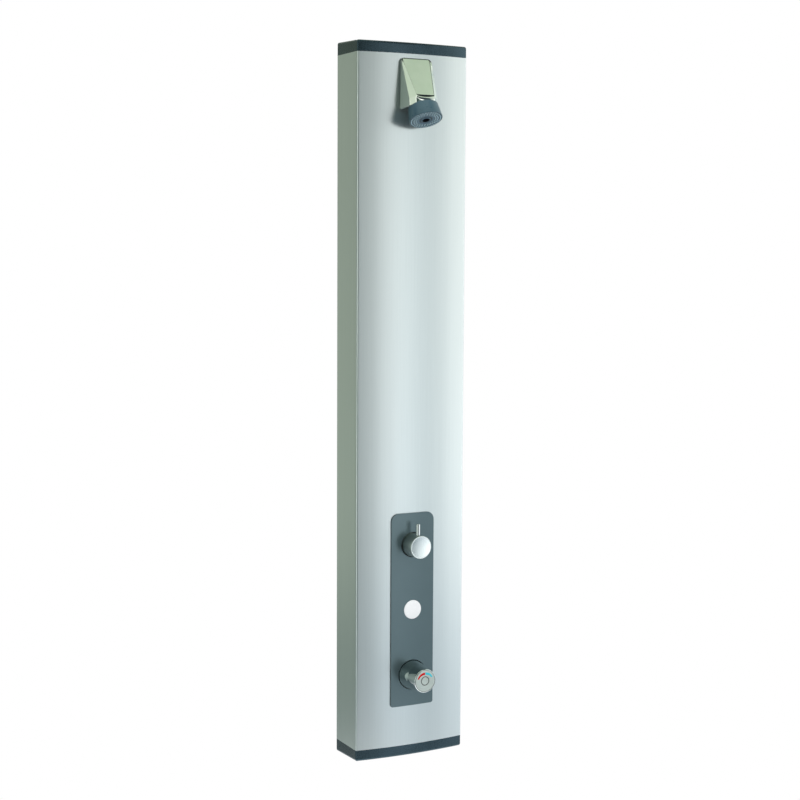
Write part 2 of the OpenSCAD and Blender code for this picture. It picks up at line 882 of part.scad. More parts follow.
module pipe_nut() {
    difference() {
        linear_extrude(nut_l) hexagon(nut_r);
        translate([0, 0, -over]) cylinder(r = pipe_r + nut_gap, h = nut_l + 2 * over);
    }
}

module pipe_nuts() color("#d8d4c4") {
    for (s = [-1, 1]) {
        translate([s * inlet_x, -pipe_d, inlet_z - inlet_drop - nut_l]) pipe_nut();
        translate([s > 0 ? mixer_arm : -mixer_arm - nut_l, -pipe_d, mixer_z]) rotate([90, 0, 90]) pipe_nut();
    }
    for (p = link_pairs) {
        translate([0, -pipe_d, p[0]]) pipe_nut();
        translate([0, -pipe_d, p[1] - nut_l]) pipe_nut();
    }
    translate([0, -pipe_d, riser_z0]) pipe_nut();
}

// Brass body of the thermostatic mixer
module mixer_body() color("#c9a45c") translate([0, 0, mixer_z]) difference() {
    union() {
        rod(mixer_r, mixer_back, plate_back);
        rod(collar_r, mixer_back, collar_end);
        crossbar(port_r, -mixer_arm, mixer_arm, pipe_d);
        post(port_r, 0, mixer_neck, pipe_d);
    }
    rod(cartridge_r + fit, mixer_back + bore_floor, collar_end + over);
    crossbar(way_r, -mixer_arm - over, mixer_arm + over, pipe_d);
    for (s = [-1, 1]) {
        x0 = s > 0 ? mixer_arm - socket_l : -mixer_arm - over;
        crossbar(pipe_r + fit, x0, x0 + socket_l + over, pipe_d);
    }
    post(way_r, 0, mixer_neck + over, pipe_d);
    post(pipe_r + fit, mixer_neck - socket_l, mixer_neck + over, pipe_d);
}

// Sleeve of the cartridge, with windows for hot and cold water and a nose for the stop ring
module thermo_cartridge() color("#d9d3c2") translate([0, 0, mixer_z]) difference() {
    union() {
        rod(cartridge_r, mixer_back + bore_floor + fit, collar_end);
        rod(cartridge_flange_r, collar_end, cartridge_end);
        rod(nose_r, collar_end, cartridge_end + nose_l);
    }
    rod(shuttle_r + fit, mixer_back + bore_floor - over, shuttle_d + shuttle_l + shuttle_room + over);
    rod(spindle_r + fit, mixer_back, cartridge_end + nose_l + over);
    for (a = [0 : 45 : 135]) rotate([0, a, 0])
        crossbar(window_r, -2 * cartridge_r, 2 * cartridge_r, pipe_d);
}

module thermo_shuttle() color("#e0d9c0") translate([0, 0, mixer_z]) difference() {
    union() {
        rod(shuttle_r, shuttle_d, shuttle_d + shuttle_l);
        rod(spindle_r, shuttle_d - shuttle_room, shuttle_d + bite);
    }
    for (a = [0 : 60 : 300]) rotate([0, a, 0]) translate([shuttle_r * 0.7, 0, 0])
        rod(shuttle_r * 0.15, shuttle_d - over, shuttle_d + shuttle_l + over);
}

// Return spring behind the shuttle
module thermo_spring() color("silver") translate([0, 0, mixer_z]) difference() {
    rod(shuttle_r - spring_t, mixer_back + bore_floor, shuttle_d);
    rod(shuttle_r - 2 * spring_t, mixer_back, shuttle_d + over);
}

module thermo_spindle() color("#c9a45c") translate([0, 0, mixer_z]) difference() {
    rod(spindle_r, thermo_spindle_d0, thermo_spindle_d1);
    rod(knob_screw_r + fit, thermo_spindle_d1 - knob_screw_l, thermo_spindle_d1 + over);
}

module stop_ring() color("#b03a2e") translate([0, 0, mixer_z]) difference() {
    union() {
        rod(stop_ring_r, cartridge_end, cartridge_end + stop_ring_t);
        translate([0, 0, stop_ring_r]) slab(cartridge_end, cartridge_end + stop_ring_t)
            square([stop_lug_w, 2 * stop_lug_h], center = true);
    }
    rod(nose_r + fit, cartridge_end - over, cartridge_end + nose_l);
}

module valve_nuts() color("#d8d4c4") {
    translate([0, 0, mixer_z]) difference() {
        slab(rail_d, rail_d + ring_nut_l) hexagon(ring_nut_r);
        rod(collar_r + fit, rail_d - over, rail_d + ring_nut_l + over);
    }
    translate([0, 0, flow_z]) difference() {
        slab(rail_d, rail_d + ring_nut_l) hexagon(flow_ring_nut_r);
        rod(flow_collar_r + fit, rail_d - over, rail_d + ring_nut_l + over);
    }
}

// Thermostat knob: a tapered turned body with ball-cut scoops, hollow behind
module thermo_knob() color("#b9c3c2") {
    waist_d = knob_back + (thermo_front - knob_back) * thermo_waist_share;
    hub_d = thermo_spindle_d1 - knob_web;
    translate([0, 0, mixer_z]) difference() {
        turned() polygon([
            [0, knob_back], [thermo_base_r - tip_bevel / 2, knob_back],
            [thermo_base_r, knob_back + tip_bevel], [thermo_base_r, front_d + tip_bevel],
            [thermo_waist_r, waist_d], [thermo_tip_r, thermo_front - 3 * tip_bevel],
            [thermo_tip_r, thermo_front - tip_bevel], [thermo_tip_r - tip_bevel, thermo_front],
            [0, thermo_front]
        ]);
        rod(thermo_face_r + fit, thermo_front - face_t, thermo_front + over);
        difference() {
            turned() polygon([
                [0, knob_back - over], [thermo_base_r - knob_wall, knob_back - over],
                [thermo_base_r - knob_wall, front_d], [thermo_tip_r * 0.55, hub_d], [0, hub_d]
            ]);
            rod(spindle_r + knob_wall, front_d, hub_d + over);
        }
        rod(spindle_r + fit, knob_back - over, thermo_spindle_d1);
        rod(knob_screw_r + 2 * fit, thermo_spindle_d1 - over, thermo_front + over);
        rod(knob_screw_head_r + slack, thermo_front - face_t - knob_screw_head_h - fit, thermo_front + over);
        for (i = [0 : scoops - 1]) rotate([0, i * 360 / scoops, 0])
            translate([thermo_tip_r + scoop_off, -(thermo_front - scoop_rim), 0]) sphere(r = scoop_r);
    }
}

module thermo_face() color("#cdd6d2") translate([0, 0, mixer_z]) difference() {
    rod(thermo_face_r, thermo_front - face_t, thermo_front - fit);
    rod(thermo_cap_r + slack, thermo_front - 2 * face_t, thermo_front + over);
}

module thermo_cap() color("#aab4b4") translate([0, 0, mixer_z]) union() {
    turned() polygon([
        [0, thermo_front - face_t], [thermo_cap_r, thermo_front - face_t],
        [thermo_cap_r, thermo_front - fit], [thermo_cap_r - bite, thermo_front + fit],
        [0, thermo_front + slack]
    ]);
}

module thermo_screw() color("silver") translate([0, 0, mixer_z]) difference() {
    head_d = thermo_front - face_t - knob_screw_head_h - fit;
    union() {
        rod(knob_screw_head_r, head_d, head_d + knob_screw_head_h);
        rod(knob_screw_r, head_d - knob_screw_l + bite, head_d + bite);
    }
    slab(head_d + knob_screw_head_h / 2, head_d + knob_screw_head_h + over) hexagon(knob_screw_head_r / 2);
}

// Brass body of the flow valve
module flow_body() color("#c9a45c") translate([0, 0, flow_z]) difference() {
    union() {
        rod(flow_r, flow_back, plate_back);
        rod(flow_collar_r, flow_back, collar_end);
        post(port_r, -flow_neck, flow_neck, pipe_d);
    }
    rod(flow_cartridge_r + fit, flow_back + bore_floor, collar_end + over);
    for (s = [-1, 1]) {
        z0 = s > 0 ? 0 : -flow_neck - over;
        post(way_r, z0, z0 + flow_neck + over, pipe_d);
        z1 = s > 0 ? flow_neck - socket_l : -flow_neck - over;
        post(pipe_r + fit, z1, z1 + socket_l + over, pipe_d);
    }
}

module flow_cartridge() color("#d9d3c2") translate([0, 0, flow_z]) difference() {
    union() {
        rod(flow_cartridge_r, flow_back + bore_floor + fit, collar_end);
        rod(flow_collar_r, collar_end, flow_cartridge_end);
    }
    rod(disc_r + fit, flow_back + bore_floor - over, flow_disc_d + 2 * disc_t + 2 * disc_gap + over);
    rod(spindle_r + fit, flow_back, flow_cartridge_end + over);
    for (a = [0, 90]) rotate([0, a, 0])
        crossbar(window_r, -2 * flow_cartridge_r, 2 * flow_cartridge_r, flow_disc_d - disc_t);
}

module disc_ways(d0, d1) {
    for (s = [-1, 1]) translate([s * disc_way_off, 0, 0]) rod(disc_way_r, d0 - over, d1 + over);
}

module flow_seat_disc() color("white") translate([0, 0, flow_z]) difference() {
    rod(disc_r, flow_disc_d, flow_disc_d + disc_t);
    disc_ways(flow_disc_d, flow_disc_d + disc_t);
}

module flow_turn_disc() color("ivory") translate([0, 0, flow_z]) difference() {
    rod(disc_r, flow_turn_d, flow_turn_d + disc_t);
    rotate([0, 90, 0]) disc_ways(flow_turn_d, flow_turn_d + disc_t);
}

module flow_spindle() color("#c9a45c") translate([0, 0, flow_z])
    rod(spindle_r, flow_turn_d + disc_t, flow_spindle_d1);

// Flow knob: a plain round body, hollow behind, drilled for the pin lever
module flow_knob() color("#c9d1cf") translate([0, 0, flow_z]) difference() {
    turned() polygon([
        [0, knob_back], [flow_knob_r - flow_bevel, knob_back], [flow_knob_r, knob_back + flow_bevel],
        [flow_knob_r, flow_front - flow_bevel], [flow_knob_r - flow_bevel, flow_front], [0, flow_front]
    ]);
    difference() {
        rod(flow_knob_r - knob_wall, knob_back - over, lever_d - pin_r - knob_wall);
        rod(spindle_r + knob_wall, front_d, flow_front);
    }
    rod(spindle_r + fit, knob_back - over, flow_spindle_d1);
    translate([0, -lever_d, spindle_r]) cylinder(r = pin_r + fit, h = flow_knob_r);
}

module flow_pin() color("#dfe5e3") translate([0, -lever_d, flow_z + spindle_r + fit]) union() {
    cylinder(r = pin_r, h = pin_reach - spindle_r - fit - flow_bevel);
    translate([0, 0, pin_reach - spindle_r - fit - flow_bevel])
        cylinder(r1 = pin_r, r2 = pin_r - flow_bevel, h = flow_bevel);
}

// Push button in its housing
module button_housing() color("#2c3134") translate([0, 0, button_z]) difference() {
    union() {
        rod(button_out_r, button_back_d, front_d + gasket_t - sag(button_out_r) - fit);
        rod(button_flange_r, button_seat_d - button_flange_t, button_seat_d);
    }
    rod(button_r + button_play, button_floor, fascia_front);
    rod(button_stem_r + fit, button_back_d, button_floor + over);
    slab(button_back_d - over, button_back_d + switch_h + switch_gap * 2)
        square([switch_w + 2 * fit, switch_w + 2 * fit], center = true);
    button_screws_at() rod(button_screw_r + slack, button_back_d, front_d);
}

module button_screws_at() {
    for (s = [-1, 1]) translate([s * button_screw_x, 0, 0]) children();
}

module button_cap() color("#f2f4f2") translate([0, 0, button_z]) union() {
    turned() polygon([
        [0, button_under], [button_r, button_under], [button_r, button_front - button_dome],
        [button_r * 0.9, button_front - button_dome * 0.42],
        [button_r * 0.6, button_front - button_dome * 0.13], [0, button_front]
    ]);
    rod(button_stem_r, button_back_d + switch_h + switch_gap * 3 + button_travel, button_under + bite);
}

module button_spring() color("silver") translate([0, 0, button_z]) difference() {
    rod(button_stem_r + 2 * spring_t + fit, button_floor, button_under);
    rod(button_stem_r + spring_t, button_floor - over, button_under + over);
}

module button_switch() color("#1d2022") translate([0, 0, button_z]) union() {
    slab(button_back_d, button_back_d + switch_h) square([switch_w, switch_w], center = true);
    rod(switch_nub_r, button_back_d + switch_h - bite, button_back_d + switch_h + 2 * switch_gap);
}

module button_screws() color("silver") translate([0, 0, button_z]) button_screws_at() {
    d = button_seat_d - button_flange_t;
    rod(button_screw_r * 2, d - button_screw_r * 1.5, d);
    rod(button_screw_r, d - bite, button_seat_d + skin_t / 2);
}

// Solenoid valve in the riser, its armature tube pointing out of the wall
module solenoid_body() color("#d9d3c2") translate([0, 0, solenoid_z]) difference() {
    union() {
        post(port_r, -solenoid_neck, solenoid_neck, pipe_d);
        slab(pipe_d - port_r, pipe_d + port_r) round_rect(solenoid_w, solenoid_w, coil_r / 4);
        rod(armature_r + armature_wall, pipe_d, armature_end);
    }
    for (s = [-1, 1]) {
        z0 = s > 0 ? armature_r + armature_wall : -solenoid_neck - over;
        post(way_r, z0, s > 0 ? solenoid_neck + over : -armature_r - armature_wall, pipe_d);
        z1 = s > 0 ? solenoid_neck - socket_l : -solenoid_neck - over;
        post(pipe_r + fit, z1, z1 + socket_l + over, pipe_d);
    }
    rod(armature_r, pipe_d + port_r / 2, armature_end - armature_wall);
    post(way_r / 2, -solenoid_neck, solenoid_neck, pipe_d - port_r / 2);
}

module solenoid_coil() color("#1d2022") translate([0, 0, solenoid_z]) difference() {
    union() {
        rod(coil_r, pipe_d + port_r + fit, pipe_d + port_r + coil_t);
        slab(pipe_d + port_r + fit, pipe_d + port_r + coil_t)
            translate([coil_r, 0]) square([coil_r, coil_r], center = true);
    }
    rod(armature_r + armature_wall + fit, pipe_d, armature_end + over);
}

module solenoid_plunger() color("#9aa0a3") translate([0, 0, solenoid_z])
    rod(armature_r - fit, plunger_d, plunger_d + plunger_l);

module solenoid_spring() color("silver") translate([0, 0, solenoid_z]) difference() {
    rod(armature_r - 2 * fit, plunger_d + plunger_l, armature_end - armature_wall);
    rod(armature_r - spring_t, plunger_d + plunger_l - over, armature_end);
}

// Control box on the right-hand rail: an open box, its lid, its board and its battery
module box_outline(inset = 0) {
    round_rect(box_w - 2 * inset, box_h - 2 * inset, box_round - inset);
}

module control_box() color("#d7d9d6") translate([rail_x, 0, box_z]) difference() {
    slab(box_d, rail_d) box_outline();
    slab(box_d - over, rail_d - box_t) box_outline(box_t);
    for (s = [-1, 1])
        translate([0, 0, s * (box_h / 2 - plate_row_in)]) rod(plate_hole_r, box_d, rail_d + over);
    for (s = [-1, 1]) translate([s * gland_x, -(box_d + box_depth / 2), -box_h / 2 - over])
        cylinder(r = gland_r * 0.7 + fit, h = box_t + 2 * over);
}

module control_lid() color("#c9ccc8") translate([rail_x, 0, box_z]) union() {
    slab(box_d - lid_t, box_d) box_outline();
    slab(box_d - bite, box_d + lid_t) difference() {
        box_outline(box_t + fit);
        box_outline(2 * box_t);
    }
}

module circuit_board() color("#2f6b45") translate([rail_x, 0, board_z]) {
    slab(floor_d - board_t - bite, floor_d) square([box_w - 3 * box_t, board_h], center = true);
    for (s = [-1, 1]) translate([s * gland_x, 0, -board_h / 3])
        slab(floor_d - 5 * board_t, floor_d - board_t) square([gland_r * 2, gland_r], center = true);
}

module battery_block() color("#3b3f45") translate([rail_x, 0, battery_z])
    slab(floor_d - battery_t, floor_d - screw_head_h)
        round_rect(battery_w, battery_h, battery_t / 4);

module box_glands() color("#2c3134") translate([rail_x, -(box_d + box_depth / 2), box_z - box_h / 2])
    for (s = [-1, 1]) translate([s * gland_x, 0, 0]) difference() {
        union() {
            translate([0, 0, -gland_l]) linear_extrude(gland_l) hexagon(gland_r);
            cylinder(r = gland_r * 0.7, h = box_t + bite);
        }
        translate([0, 0, -gland_l - over]) cylinder(r = gland_r * 0.4, h = gland_l + box_t + 3 * over);
    }

// Frame of the spray: the face's centre is the origin, Z runs up along the spray's axis
module spray() {
    translate([0, -face_d, face_z]) rotate([-spray_tilt, 0, 0]) children();
}

module head_bolts_at() {
    for (s = [-1, 1]) translate([s * head_bolt_x, 0, nipple_z + head_bolt_h]) children();
}

// The bracket's outer form, set in all round: the base drawn out to a bowed nose, whose brow
// rolls over between two sharper cheeks and whose throat lies on the spray cup
module wedge(inset, facets) {
    base_w = head_base_w / 2 - inset;
    nose = nose_w / 2 - inset;
    base_front = inset > 0 ? head_base_d - inset : head_base_d + head_seal_t;
    hull() {
        for (s = [-1, 1]) {
            translate([s * (base_w - head_corner_r), 0, head_top_z - inset - head_corner_r])
                rod(head_corner_r, front_d - head_skirt, base_front, $fn = facets);
            translate([s * (base_w - head_foot_r), 0, head_foot_z + inset + head_foot_r])
                rod(head_foot_r, front_d - head_skirt, base_front, $fn = facets);
            translate([s * brow_w / 2, -brow_d, brow_z]) sphere(r = brow_r - inset, $fn = facets);
            translate([s * (nose - cheek_r), inset - cheek_d, cheek_z - inset / 2])
                sphere(r = cheek_r, $fn = facets);
            translate([s * (nose - throat_r), inset - throat_d, throat_z + inset])
                sphere(r = throat_r, $fn = facets);
        }
    }
}

// Frame of the bracket's sloping top: the origin at its upper edge, Y down the slope, Z outwards
module on_slope() {
    translate([0, -slope_top_d, head_top_z]) rotate([slope_angle, 0, 0]) children();
}

module inset_outline(grow = 0) {
    l = slope_l - inset_top_in - inset_bottom_in;
    top = inset_top_w / 2 + grow;
    bottom = inset_bottom_w / 2 + grow;
    translate([0, -inset_top_in]) difference() {
        polygon([[-top, grow], [top, grow], [bottom, -l - grow], [-bottom, -l - grow]]);
        for (s = [0, 1]) mirror([s, 0]) translate([top - inset_r, grow - inset_r]) difference() {
            square([2 * inset_r, 2 * inset_r]);
            circle(r = inset_r);
        }
    }
}

module head_bracket() color("#cfd6d3") difference() {
    wedge(0, blend_fn);
    difference() {
        wedge(head_wall, blend_fn / 3);
        head_bolts_at()
            rod(head_boss_r, front_d - head_skirt, head_base_d + head_boss_l + head_boss_root);
    }
    behind_front(head_seal_t, head_foot_z - over, head_top_z + over);
    head_bolts_at() rod(head_bolt_r - slack, front_d - head_skirt, head_base_d + head_boss_l - over);
    on_slope() translate([0, 0, -inset_t]) linear_extrude(inset_t + over) inset_outline(inset_gap);
    spray() cylinder(r = cup_neck_r + slack, h = cup_h + shoulder_h + spigot_l);
    spray() cylinder(r = face_r + slack, h = cup_h + shoulder_h + slack);
}

module head_inset() color("#a9b89e")
    on_slope() translate([0, 0, -inset_t]) linear_extrude(inset_t * 4 / 3) inset_outline();

module head_gasket() color("#2c3134") difference() {
    intersection() {
        translate([0, 0, head_z]) slab(side_d - crown, head_base_d + over)
            round_rect(head_base_w - 2 * gasket_in, head_base_h - 2 * gasket_in, head_corner_r - gasket_in);
        behind_front(head_seal_t, head_foot_z - over, head_top_z + over);
    }
    behind_front(0, head_foot_z - 2 * over, head_top_z + 2 * over);
    translate([0, 0, nipple_z]) rod(nipple_hole_r, rail_d, head_base_d + over);
    head_bolts_at() rod(head_bolt_r + slack, rail_d, head_base_d + over);
}

// Brass elbow inside the bracket: nipple back through the casing, spigot down the spray's axis
module head_elbow() color("#c9a45c") difference() {
    union() {
        translate([0, 0, nipple_z]) {
            rod(nipple_r, front_d - skin_t - nipple_l, head_base_d + elbow_collar_l);
            rod(elbow_r, front_d, elbow_d - bite);
            translate([0, -elbow_d, 0]) rotate([90, 0, 0]) sphere(r = elbow_r + bite);
        }
        spray() translate([0, 0, cup_h]) cylinder(r = elbow_r, h = elbow_rise - cup_h);
        spray() translate([0, 0, cup_h - spigot_l / 2]) cylinder(r = spigot_r, h = spigot_l);
    }
    translate([0, 0, nipple_z]) rod(elbow_way_r - slack, rail_d, elbow_d + over);
    translate([0, 0, nipple_z]) rod(pipe_r + fit, rail_d - over, riser_end_d);
    spray() translate([0, 0, -over]) cylinder(r = elbow_way_r, h = elbow_rise + over);
}

module head_nut() color("#d8d4c4") translate([0, 0, nipple_z]) difference() {
    slab(head_nut_d - head_nut_l, head_nut_d) hexagon(head_nut_r);
    rod(nipple_r + fit, rail_d, front_d);
}

module head_screws() color("silver") head_bolts_at() {
    d = front_d - skin_t - sag(head_bolt_x + head_bolt_r * 1.8) - fit;
    rod(head_bolt_r * 1.8, d - head_bolt_r * 1.4, d);
    rod(head_bolt_r - slack - fit, d - bite, d + skin_t + head_boss_l);
}

module flow_regulator() color("#3a6ea5") spray() translate([0, 0, regulator_z]) difference() {
    cylinder(r = spigot_r - bite, h = regulator_t);
    translate([0, 0, -over]) cylinder(r = eye_screw_r + fit, h = regulator_t + 2 * over);
    for (a = [0 : 30 : 330]) rotate([0, 0, a]) translate([spigot_r * 0.7, 0, -over])
        cylinder(r = spigot_r * 0.08, h = regulator_t + 2 * over);
}

// Spray cup: a turned shell, open below, its neck round the spigot
module spray_cup() color("#4b5b64") spray() rotate_extrude() {
    h = cup_h;
    polygon([
        [face_r - cup_edge_r / 2, 0], [face_r, cup_edge_r], [cup_top_r, h - cup_edge_r],
        [cup_top_r - cup_edge_r, h], [cup_neck_r, h + shoulder_h],
        [cup_neck_r, h + shoulder_h + cup_neck_h / 2], [spigot_r + fit, h + shoulder_h + cup_neck_h / 2],
        [spigot_r + fit, h - cup_wall], [cup_top_r - cup_wall, h - cup_wall],
        [face_r - cup_wall - cup_ledge, face_inset + plate_l + fit],
        [face_r - cup_wall, face_inset + plate_l + fit],
        [face_r - cup_wall, 0]
    ]);
}

module spray_face() color("#6a7a83") spray() difference() {
    union() {
        translate([0, 0, face_inset]) cylinder(r = face_r - cup_wall - plate_in, h = plate_l);
        for (k = [0 : 2], i = [0 : nub_counts[k] - 1]) rotate([0, 0, i * 360 / nub_counts[k]])
            translate([face_r * nub_ring_shares[k], 0, face_inset - nub_h])
                cylinder(r1 = nub_tip_r, r2 = nub_r, h = nub_h);
        translate([0, 0, face_inset - eye_rim_t / 2]) cylinder(r = eye_r + eye_rim_t, h = plate_l);
        translate([0, 0, face_inset - ridge_h]) difference() {
            cylinder(r = ridge_r + ridge_h, h = ridge_h + bite);
            translate([0, 0, -over]) cylinder(r = ridge_r - ridge_h, h = ridge_h + bite + 2 * over);
        }
        translate([0, 0, face_inset]) cylinder(r = eye_r + eye_rim_t, h = cup_h / 2);
    }
    translate([0, 0, -nub_h]) cylinder(r = eye_r, h = eye_floor + nub_h);
    translate([0, 0, -nub_h]) cylinder(r = eye_screw_r + fit, h = cup_h);
}

module spray_screw() color("#1d2022") spray() difference() {
    union() {
        translate([0, 0, eye_floor - eye_screw_r]) cylinder(r = eye_screw_r * 1.7, h = eye_screw_r);
        translate([0, 0, eye_floor - bite]) cylinder(r = eye_screw_r, h = cup_h / 2);
    }
    cylinder(r = eye_screw_r * 0.8, h = eye_floor - eye_screw_r / 2, $fn = 6);
}

casing();
top_cap();
bottom_cap();
cap_screws();
upper_bracket();
lower_bracket();
fascia();
fascia_gasket();
fascia_nuts();
valve_plate();
plate_screws();
pipe_brackets();
inlet_elbows();
inlet_cartridges();
supply_pipes();
link_pipes();
riser_pipe();
pipe_nuts();
mixer_body();
thermo_cartridge();
thermo_shuttle();
thermo_spring();
thermo_spindle();
stop_ring();
thermo_knob();
thermo_face();
thermo_cap();
thermo_screw();
valve_nuts();
flow_body();
flow_cartridge();
flow_seat_disc();
flow_turn_disc();
flow_spindle();
flow_knob();
flow_pin();
button_housing();
button_cap();
button_spring();
button_switch();
button_screws();
solenoid_body();
solenoid_coil();
solenoid_plunger();
solenoid_spring();
control_box();
control_lid();
circuit_board();
battery_block();
box_glands();
head_bracket();
head_inset();
head_gasket();
head_elbow();
head_nut();
head_screws();
flow_regulator();
spray_cup();
spray_face();
spray_screw();
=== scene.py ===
import json
import math

import bmesh
import bpy
import numpy as np
from mathutils import Matrix, Vector


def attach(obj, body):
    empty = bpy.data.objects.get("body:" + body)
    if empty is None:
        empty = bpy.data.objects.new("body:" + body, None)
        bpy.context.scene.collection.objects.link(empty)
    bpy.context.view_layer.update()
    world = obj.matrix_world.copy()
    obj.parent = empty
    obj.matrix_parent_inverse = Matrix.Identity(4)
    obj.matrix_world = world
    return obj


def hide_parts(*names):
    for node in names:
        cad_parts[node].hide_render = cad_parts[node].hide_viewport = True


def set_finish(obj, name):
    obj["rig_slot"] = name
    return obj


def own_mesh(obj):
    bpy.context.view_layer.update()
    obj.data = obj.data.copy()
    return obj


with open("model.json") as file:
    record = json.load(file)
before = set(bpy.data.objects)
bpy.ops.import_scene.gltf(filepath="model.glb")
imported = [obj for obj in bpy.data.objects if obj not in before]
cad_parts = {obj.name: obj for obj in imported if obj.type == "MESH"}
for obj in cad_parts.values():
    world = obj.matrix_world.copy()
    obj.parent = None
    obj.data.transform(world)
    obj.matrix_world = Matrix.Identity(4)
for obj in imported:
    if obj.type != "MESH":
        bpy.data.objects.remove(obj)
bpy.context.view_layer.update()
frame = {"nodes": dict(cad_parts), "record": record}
NODES = frame["nodes"]
NODE_SLOT = {s["node"]: s["material_slot"] for s in frame["record"]["subparts"]}
MM = 0.001

# Sizes of the part in millimetres, as the frame has them. Depth is the distance out of the wall.
FOOT = -600.0
HALF_W, SIDE_D, CROWN = 101.0, 76.0, 7.6
FRONT_D = SIDE_D + CROWN
FRONT_R = (HALF_W ** 2 + CROWN ** 2) / (2 * CROWN)
FLOW_Z, BUTTON_Z, MIXER_Z, SOLENOID_Z = FOOT + 366, FOOT + 255, FOOT + 143, FOOT + 462

# Controls: both knobs start behind the fascia, in its openings, and turn on spindles of one size. The finger
# scoops cut the thermostat's skin outside SKIN_R and in front of SKIN_D.
KNOB_BACK, SPINDLE_R = 80.1, 4.05
FLOW_FRONT, PIN_D = 115.2, 103.5
THERMO_FRONT, FACE_R, SKIN_R, SKIN_D = 132.4, 17.9, 19.0, 95.0
BUTTON_FRONT, BUTTON_UNDER, BUTTON_R = 87.0, 83.35, 16.0

# Bracket: its base on the casing, the sloping top down to the brow, and its gap over the spray cup
HEAD_TOP, HEAD_FOOT, HEAD_HALF, HEAD_REAR = FOOT + 1171, FOOT + 1088, 27.8, FRONT_D + 1.0
HEAD_TOP_R, HEAD_FOOT_R, HEAD_WALL, HEAD_GAP = 6.0, 2.5, 2.4, 1.2
SLOPE_D, BROW_D, BROW_Z, BROW_HALF = FRONT_D + 2.0, 121.9, FOOT + 1106.7, 16.0
SLOPE = math.atan2(BROW_D - SLOPE_D, HEAD_TOP - BROW_Z)

# Spray cup: its face's centre, its tilt from the level, and its shell
CUP_D, CUP_Z, CUP_TILT = 122.3, FOOT + 1069.1, math.radians(24.5)
CUP_R, CUP_TOP_R, CUP_H, CUP_WALL = 27.7, 24.5, 24.0, 1.8

# Stage, in metres: the drum that metal reflects, and the photograph's camera, whose angles are in degrees
DRUM_R, DRUM_FOOT, DRUM_TOP = 3.4, -3.4, 3.2
CAMERA_AZ, CAMERA_EL, CAMERA_ROLL, CAMERA_AWAY = -27.333, 5.354, 0.292, 2.743332
CAMERA_TARGET = Vector((0.018393, 0.0, 0.002206))
SENSOR_MM, FOCAL_PX, PHOTO_PX = 36.0, 1593.766, 800.0


# Materials, with the values that most of a noise lies between
NOISE_LOW, NOISE_HIGH = 0.3, 0.7


def srgb(r, g, b):
    """A colour given as 0 to 255 display values, as linear numbers."""
    out = []
    for c in (r, g, b):
        c /= 255.0
        out.append(c / 12.92 if c <= 0.04045 else ((c + 0.055) / 1.055) ** 2.4)
    return (*out, 1.0)


class Mat:
    """A material with one Principled shader and short calls that add nodes to it."""

    def __init__(self, name, color, rough=0.5, metallic=0.0, **sockets):
        self.m = bpy.data.materials.new(name)
        self.m.use_nodes = True
        self.t = self.m.node_tree
        self.p = self.t.nodes["Principled BSDF"]
        self.p.inputs["Base Color"].default_value = color
        self.p.inputs["Roughness"].default_value = rough
        self.p.inputs["Metallic"].default_value = metallic
        for k, v in sockets.items():
            self.p.inputs[k.replace("_", " ")].default_value = v
        self.coord = None
        self.height = None
        self.m.diffuse_color = color

    def node(self, kind, **values):
        """A new node, its sockets or else its settings given by name."""
        n = self.t.nodes.new(kind)
        for k, v in values.items():
            if k in n.inputs:
                n.inputs[k].default_value = v
            else:
                setattr(n, k, v)
        return n

    def link(self, a, b):
        self.t.links.new(a, b)

    def position(self, scale=(1, 1, 1)):
        """Object coordinates in millimetres, stretched by scale."""
        if self.coord is None:
            self.coord = self.node("ShaderNodeTexCoord").outputs["Object"]
        m = self.node("ShaderNodeMapping")
        m.inputs["Scale"].default_value = [s / MM for s in scale]
        self.link(self.coord, m.inputs["Vector"])
        return m.outputs["Vector"]

    def noise(self, size, stretch=(1, 1, 1), detail=2.0, rough=0.5):
        """Noise whose grains are size millimetres wide, longer along an axis by stretch."""
        n = self.node("ShaderNodeTexNoise", Scale=1.0 / size, Detail=detail, Roughness=rough)
        self.link(self.position([1.0 / s for s in stretch]), n.inputs["Vector"])
        return n.outputs["Fac"]

    def tint(self, fac, dark, light, low=NOISE_LOW, high=NOISE_HIGH):
        """Base colour that runs from dark to light with fac."""
        r = self.node("ShaderNodeValToRGB")
        r.color_ramp.elements[0].position = low
        r.color_ramp.elements[0].color = dark
        r.color_ramp.elements[1].position = high
        r.color_ramp.elements[1].color = light
        self.link(fac, r.inputs["Fac"])
        self.link(r.outputs["Color"], self.p.inputs["Base Color"])
        return self

    def rough(self, fac, low, high):
        """Roughness that runs from low to high with fac."""
        n = self.node("ShaderNodeMapRange")
        n.inputs["From Min"].default_value = NOISE_LOW
        n.inputs["From Max"].default_value = NOISE_HIGH
        n.inputs["To Min"].default_value = low
        n.inputs["To Max"].default_value = high
        self.link(fac, n.inputs["Value"])
        self.link(n.outputs["Result"], self.p.inputs["Roughness"])
        return self

    def bump(self, fac, depth):
        """Raises the surface by up to depth millimetres with fac. Calls add up."""
        b = self.node("ShaderNodeBump", Strength=1.0, Distance=depth * MM)
        self.link(fac, b.inputs["Height"])
        if self.height is not None:
            self.link(self.height, b.inputs["Normal"])
        self.height = b.outputs["Normal"]
        self.link(self.height, self.p.inputs["Normal"])
        return self


def drawn_steel(name, dark, light, rough, grain, length):
    """Bright steel with fine marks, grain millimetres wide, along its length."""
    m = Mat(name, light, rough, 1.0)
    fine = m.noise(grain, (1, 1, length / grain), 3.0, 0.6)
    m.tint(m.noise(2.0, (1, 1, 60)), dark, light, 0.2, 0.8)
    m.rough(fine, rough - 0.02, rough + 0.02)
    return m.bump(fine, 0.001)


